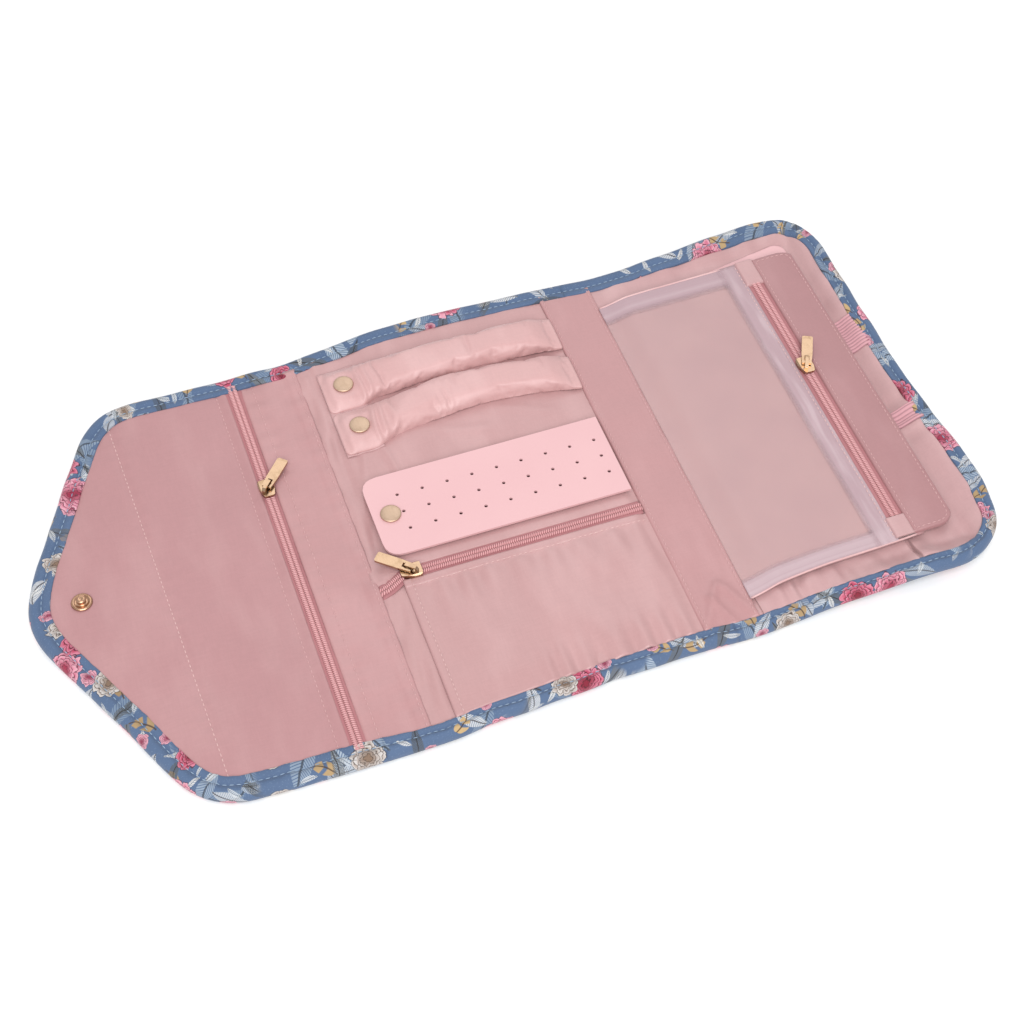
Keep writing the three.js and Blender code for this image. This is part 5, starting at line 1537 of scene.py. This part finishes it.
def film_top(x, y):
    """The frosted window: a hair over the back sheet, with long shallow waves and a slack middle."""
    within = smooth(WINDOW_Y - np.abs(y), 14) * smooth(WINDOW_X - x, 14) * smooth(x - 90, 14)
    return page_top(x, y) + 0.55 + within * (0.35 + 0.3 * ripple(x, y, 38, 141))


film_half = WINDOW_Y + FILM_PAST
film = cloth("page_window_film", page_xs(100, WINDOW_X + FILM_PAST, 40),
             np.linspace(-film_half, film_half, 90), film_top, FILM, 0.3, lean=page_lean)
sewn(film, "page_turn", ["page_window"], (WINDOW_X + FILM_PAST - PAGE_SEAM, 2 * film_half))

BORDER_THICK = 0.4
BEAD_RADIUS = 0.5
BEAD_SIDES = 8


def border_top(x, y):
    """The film tape round the window, a little wavy along its edges."""
    return page_top(x, y) + 0.95 + 0.1 * ripple(x, y, 14, 151)


def page_bead(name, sign):
    """The rounded edge of the page beside the film tape: a thin tube along the far or the near side, whose
    lighter satin is a painted highlight.
    """
    line = run_x(PAGE_SEAM + 0.5, PAGE_STRIP + 1, sign * (PAGE_HALF - 0.1), over(border_top, -0.25))
    line[:, 1] = page_lean(line[:, 0], line[:, 1])
    turn = ring_of(BEAD_SIDES)
    ring = BEAD_RADIUS * np.stack([0 * turn, np.cos(turn), np.sin(turn)], axis=-1)
    return tube(name, settle(line[:, None, :] + ring[None]), LIT_EDGE_SATIN)


for hand, sign, nodes in (("far", 1, ["page_border"]), ("near", -1, [])):
    ys = np.sort(sign * steps(WINDOW_Y, PAGE_HALF, 1.2))
    tape = cloth("page_border_" + hand, page_xs(99, BORDER_X, 40), ys, border_top, BORDER, BORDER_THICK,
                 edges=[hand], lean=page_lean, depth=lambda x, y: np.abs(y) - WINDOW_Y)
    sewn(tape, "page_turn", nodes, (BORDER_X - PAGE_SEAM, PAGE_HALF - WINDOW_Y))
    solid(page_bead("page_bead_" + hand, sign), "page_turn")
border_right = cloth("page_border_right", steps(WINDOW_X, BORDER_X, 1.2),
                     np.linspace(-PAGE_HALF, PAGE_HALF, 120), over(border_top, 0.3), BORDER, BORDER_THICK,
                     edges=["right"], lean=page_lean, depth=lambda x, y: x - WINDOW_X)
sewn(border_right, "page", [], (BORDER_X - WINDOW_X, 2 * PAGE_HALF))
cross_seam("page_border_seam", BORDER_X - 1.6, border_top, "page", PAGE_HALF - 1, 0.4, THREAD_PALE,
           "pale_tape")

PAGE_ZIP_Z = 10.55
PAGE_ZIP_HALF = 76
PAGE_TAPE = 3.9
page_line = evenly([(PAGE_ZIP_X, -PAGE_ZIP_HALF), (PAGE_ZIP_X, PAGE_ZIP_HALF)], 3)
zipped("page", ("left", "right"), page_line, level(PAGE_ZIP_Z), PAGE_TAPE, "page")


def tab_top(x, y):
    """A folded tab over a zip's end, a little uneven."""
    return 0 * x + PAGE_TOP + 2.2 + 0.12 * ripple(x, y, 8, 161)


for end, free in (("far", "near"), ("near", "far")):
    node = "page_zip_tab_" + end
    low, high = box(node)
    tab = cloth("page_zip_end_" + end, steps(BORDER_X - 1.2, PAGE_STRIP + 0.6, 1.1),
                steps(low[1] - 0.3, high[1], 1.3), tab_top, PINK, 1.7, edges=["left", "right", free])
    sewn(tab, "page", [node], (PAGE_STRIP - BORDER_X + 4, high[1] - low[1] + 1))

PAGE_CORNER = 8.0
PAGE_SEAM_IN = 2


def page_strip_top(x, y):
    """The page's end strip: doubled satin with a slightly puffed middle."""
    along = np.clip((x - PAGE_STRIP) / (PAGE_END - PAGE_STRIP), 0, 1)
    return PAGE_TOP + 1.5 + 0.5 * np.sin(math.pi * along) + 0.18 * ripple(x, y, 24, 171)


def page_strip_sheet():
    """The page's end strip as a sheet between its two ends, with a round outer corner at each, larger at the
    near end, and hems all round."""
    x, v = np.meshgrid(steps(PAGE_STRIP, PAGE_END, 1.2), steps(0, 1, 0.012, (0, 0.0015, 0.0035, 0.0065)),
                       indexing="ij")
    cut = corner_in((x - (PAGE_END - PAGE_CORNER)) / PAGE_CORNER, PAGE_CORNER)
    low, high = -PAGE_HALF + cut, PAGE_HALF - cut * 0.4
    y = low + v * (high - low)
    share = hem(x - PAGE_STRIP, HEM) * hem(PAGE_END - x, HEM) * hem(y - low, HEM) * hem(high - y, HEM)
    foot = page_top(x, y) + 0.05
    top = foot + (page_strip_top(x, y) - foot) * np.maximum(share, HEM_LEAST)
    return shell("page_end_strip_satin", settle(np.stack([x, y, top], axis=-1)),
                 settle(np.stack([x, y, foot], axis=-1)), SHADED_PAGE_SATIN)


sewn(page_strip_sheet(), "page", ["page_end_strip"],
     (PAGE_END - PAGE_STRIP, 2 * PAGE_HALF))
seam_left, seam_right, seam_y = PAGE_STRIP + 1.8, PAGE_END - PAGE_SEAM_IN, PAGE_HALF - PAGE_SEAM_IN
strip_lines = [evenly([(seam_left, seam_y), (seam_left, -seam_y)], 1.5),
               rounded([(seam_left, -seam_y, 0), (seam_right, -seam_y, 6.5), (seam_right, seam_y, 3),
                        (seam_left, seam_y, 0)])]
seam("page_end_strip_seam",
     [settle(np.column_stack([line, page_strip_top(line[:, 0], line[:, 1]) + 0.1])) for line in strip_lines],
     THREAD_ROSE, "page", "dusty_rose_satin")

# Floor, light and camera

bpy.ops.mesh.primitive_plane_add(size=8, location=(0, 0, -0.0006))
floor = bpy.context.object
floor.name = "floor"
floor_finish = finish_of("white floor", "Object", Base_Color=(0.9, 0.9, 0.9, 1), Roughness=0.9)[0]
floor.data.materials.append(floor_finish)

world = bpy.data.worlds.new("studio")
bpy.context.scene.world = world
world.use_nodes = True
sky = world.node_tree.nodes["Background"].inputs
sky["Color"].default_value = (1, 1, 1, 1)
sky["Strength"].default_value = 0.7


def area_light(name, at, size, power):
    """A soft square lamp at a place, turned to the middle of the roll."""
    data = bpy.data.lights.new(name, "AREA")
    data.size = size
    data.energy = power
    lamp = bpy.data.objects.new(name, data)
    bpy.context.scene.collection.objects.link(lamp)
    lamp.location = at
    x, y, z = at
    lamp.rotation_euler = (math.atan2(math.hypot(x, y), z), 0, math.atan2(-x, y) + math.pi)


area_light("key", (-0.4, -1.5, 2.0), 1.9, 60)
area_light("back", (0.6, 1.6, 1.9), 1.5, 9)

eye = bpy.data.cameras.new("camera")
camera = bpy.data.objects.new("camera", eye)
bpy.context.scene.collection.objects.link(camera)
bpy.context.scene.camera = camera
eye.sensor_width = 36
eye.lens = 68.47
AZIMUTH, ELEVATION, DISTANCE = math.radians(-19.67), math.radians(52.7), 0.858
TARGET = np.array([0.0085, -0.0065, 0.0])
back = np.array([math.sin(AZIMUTH) * math.cos(ELEVATION), -math.cos(AZIMUTH) * math.cos(ELEVATION),
                 math.sin(ELEVATION)])
camera.location = TARGET + back * DISTANCE
camera.rotation_euler = (math.pi / 2 - ELEVATION, 0, AZIMUTH)
bpy.context.scene.view_settings.view_transform = "Standard"
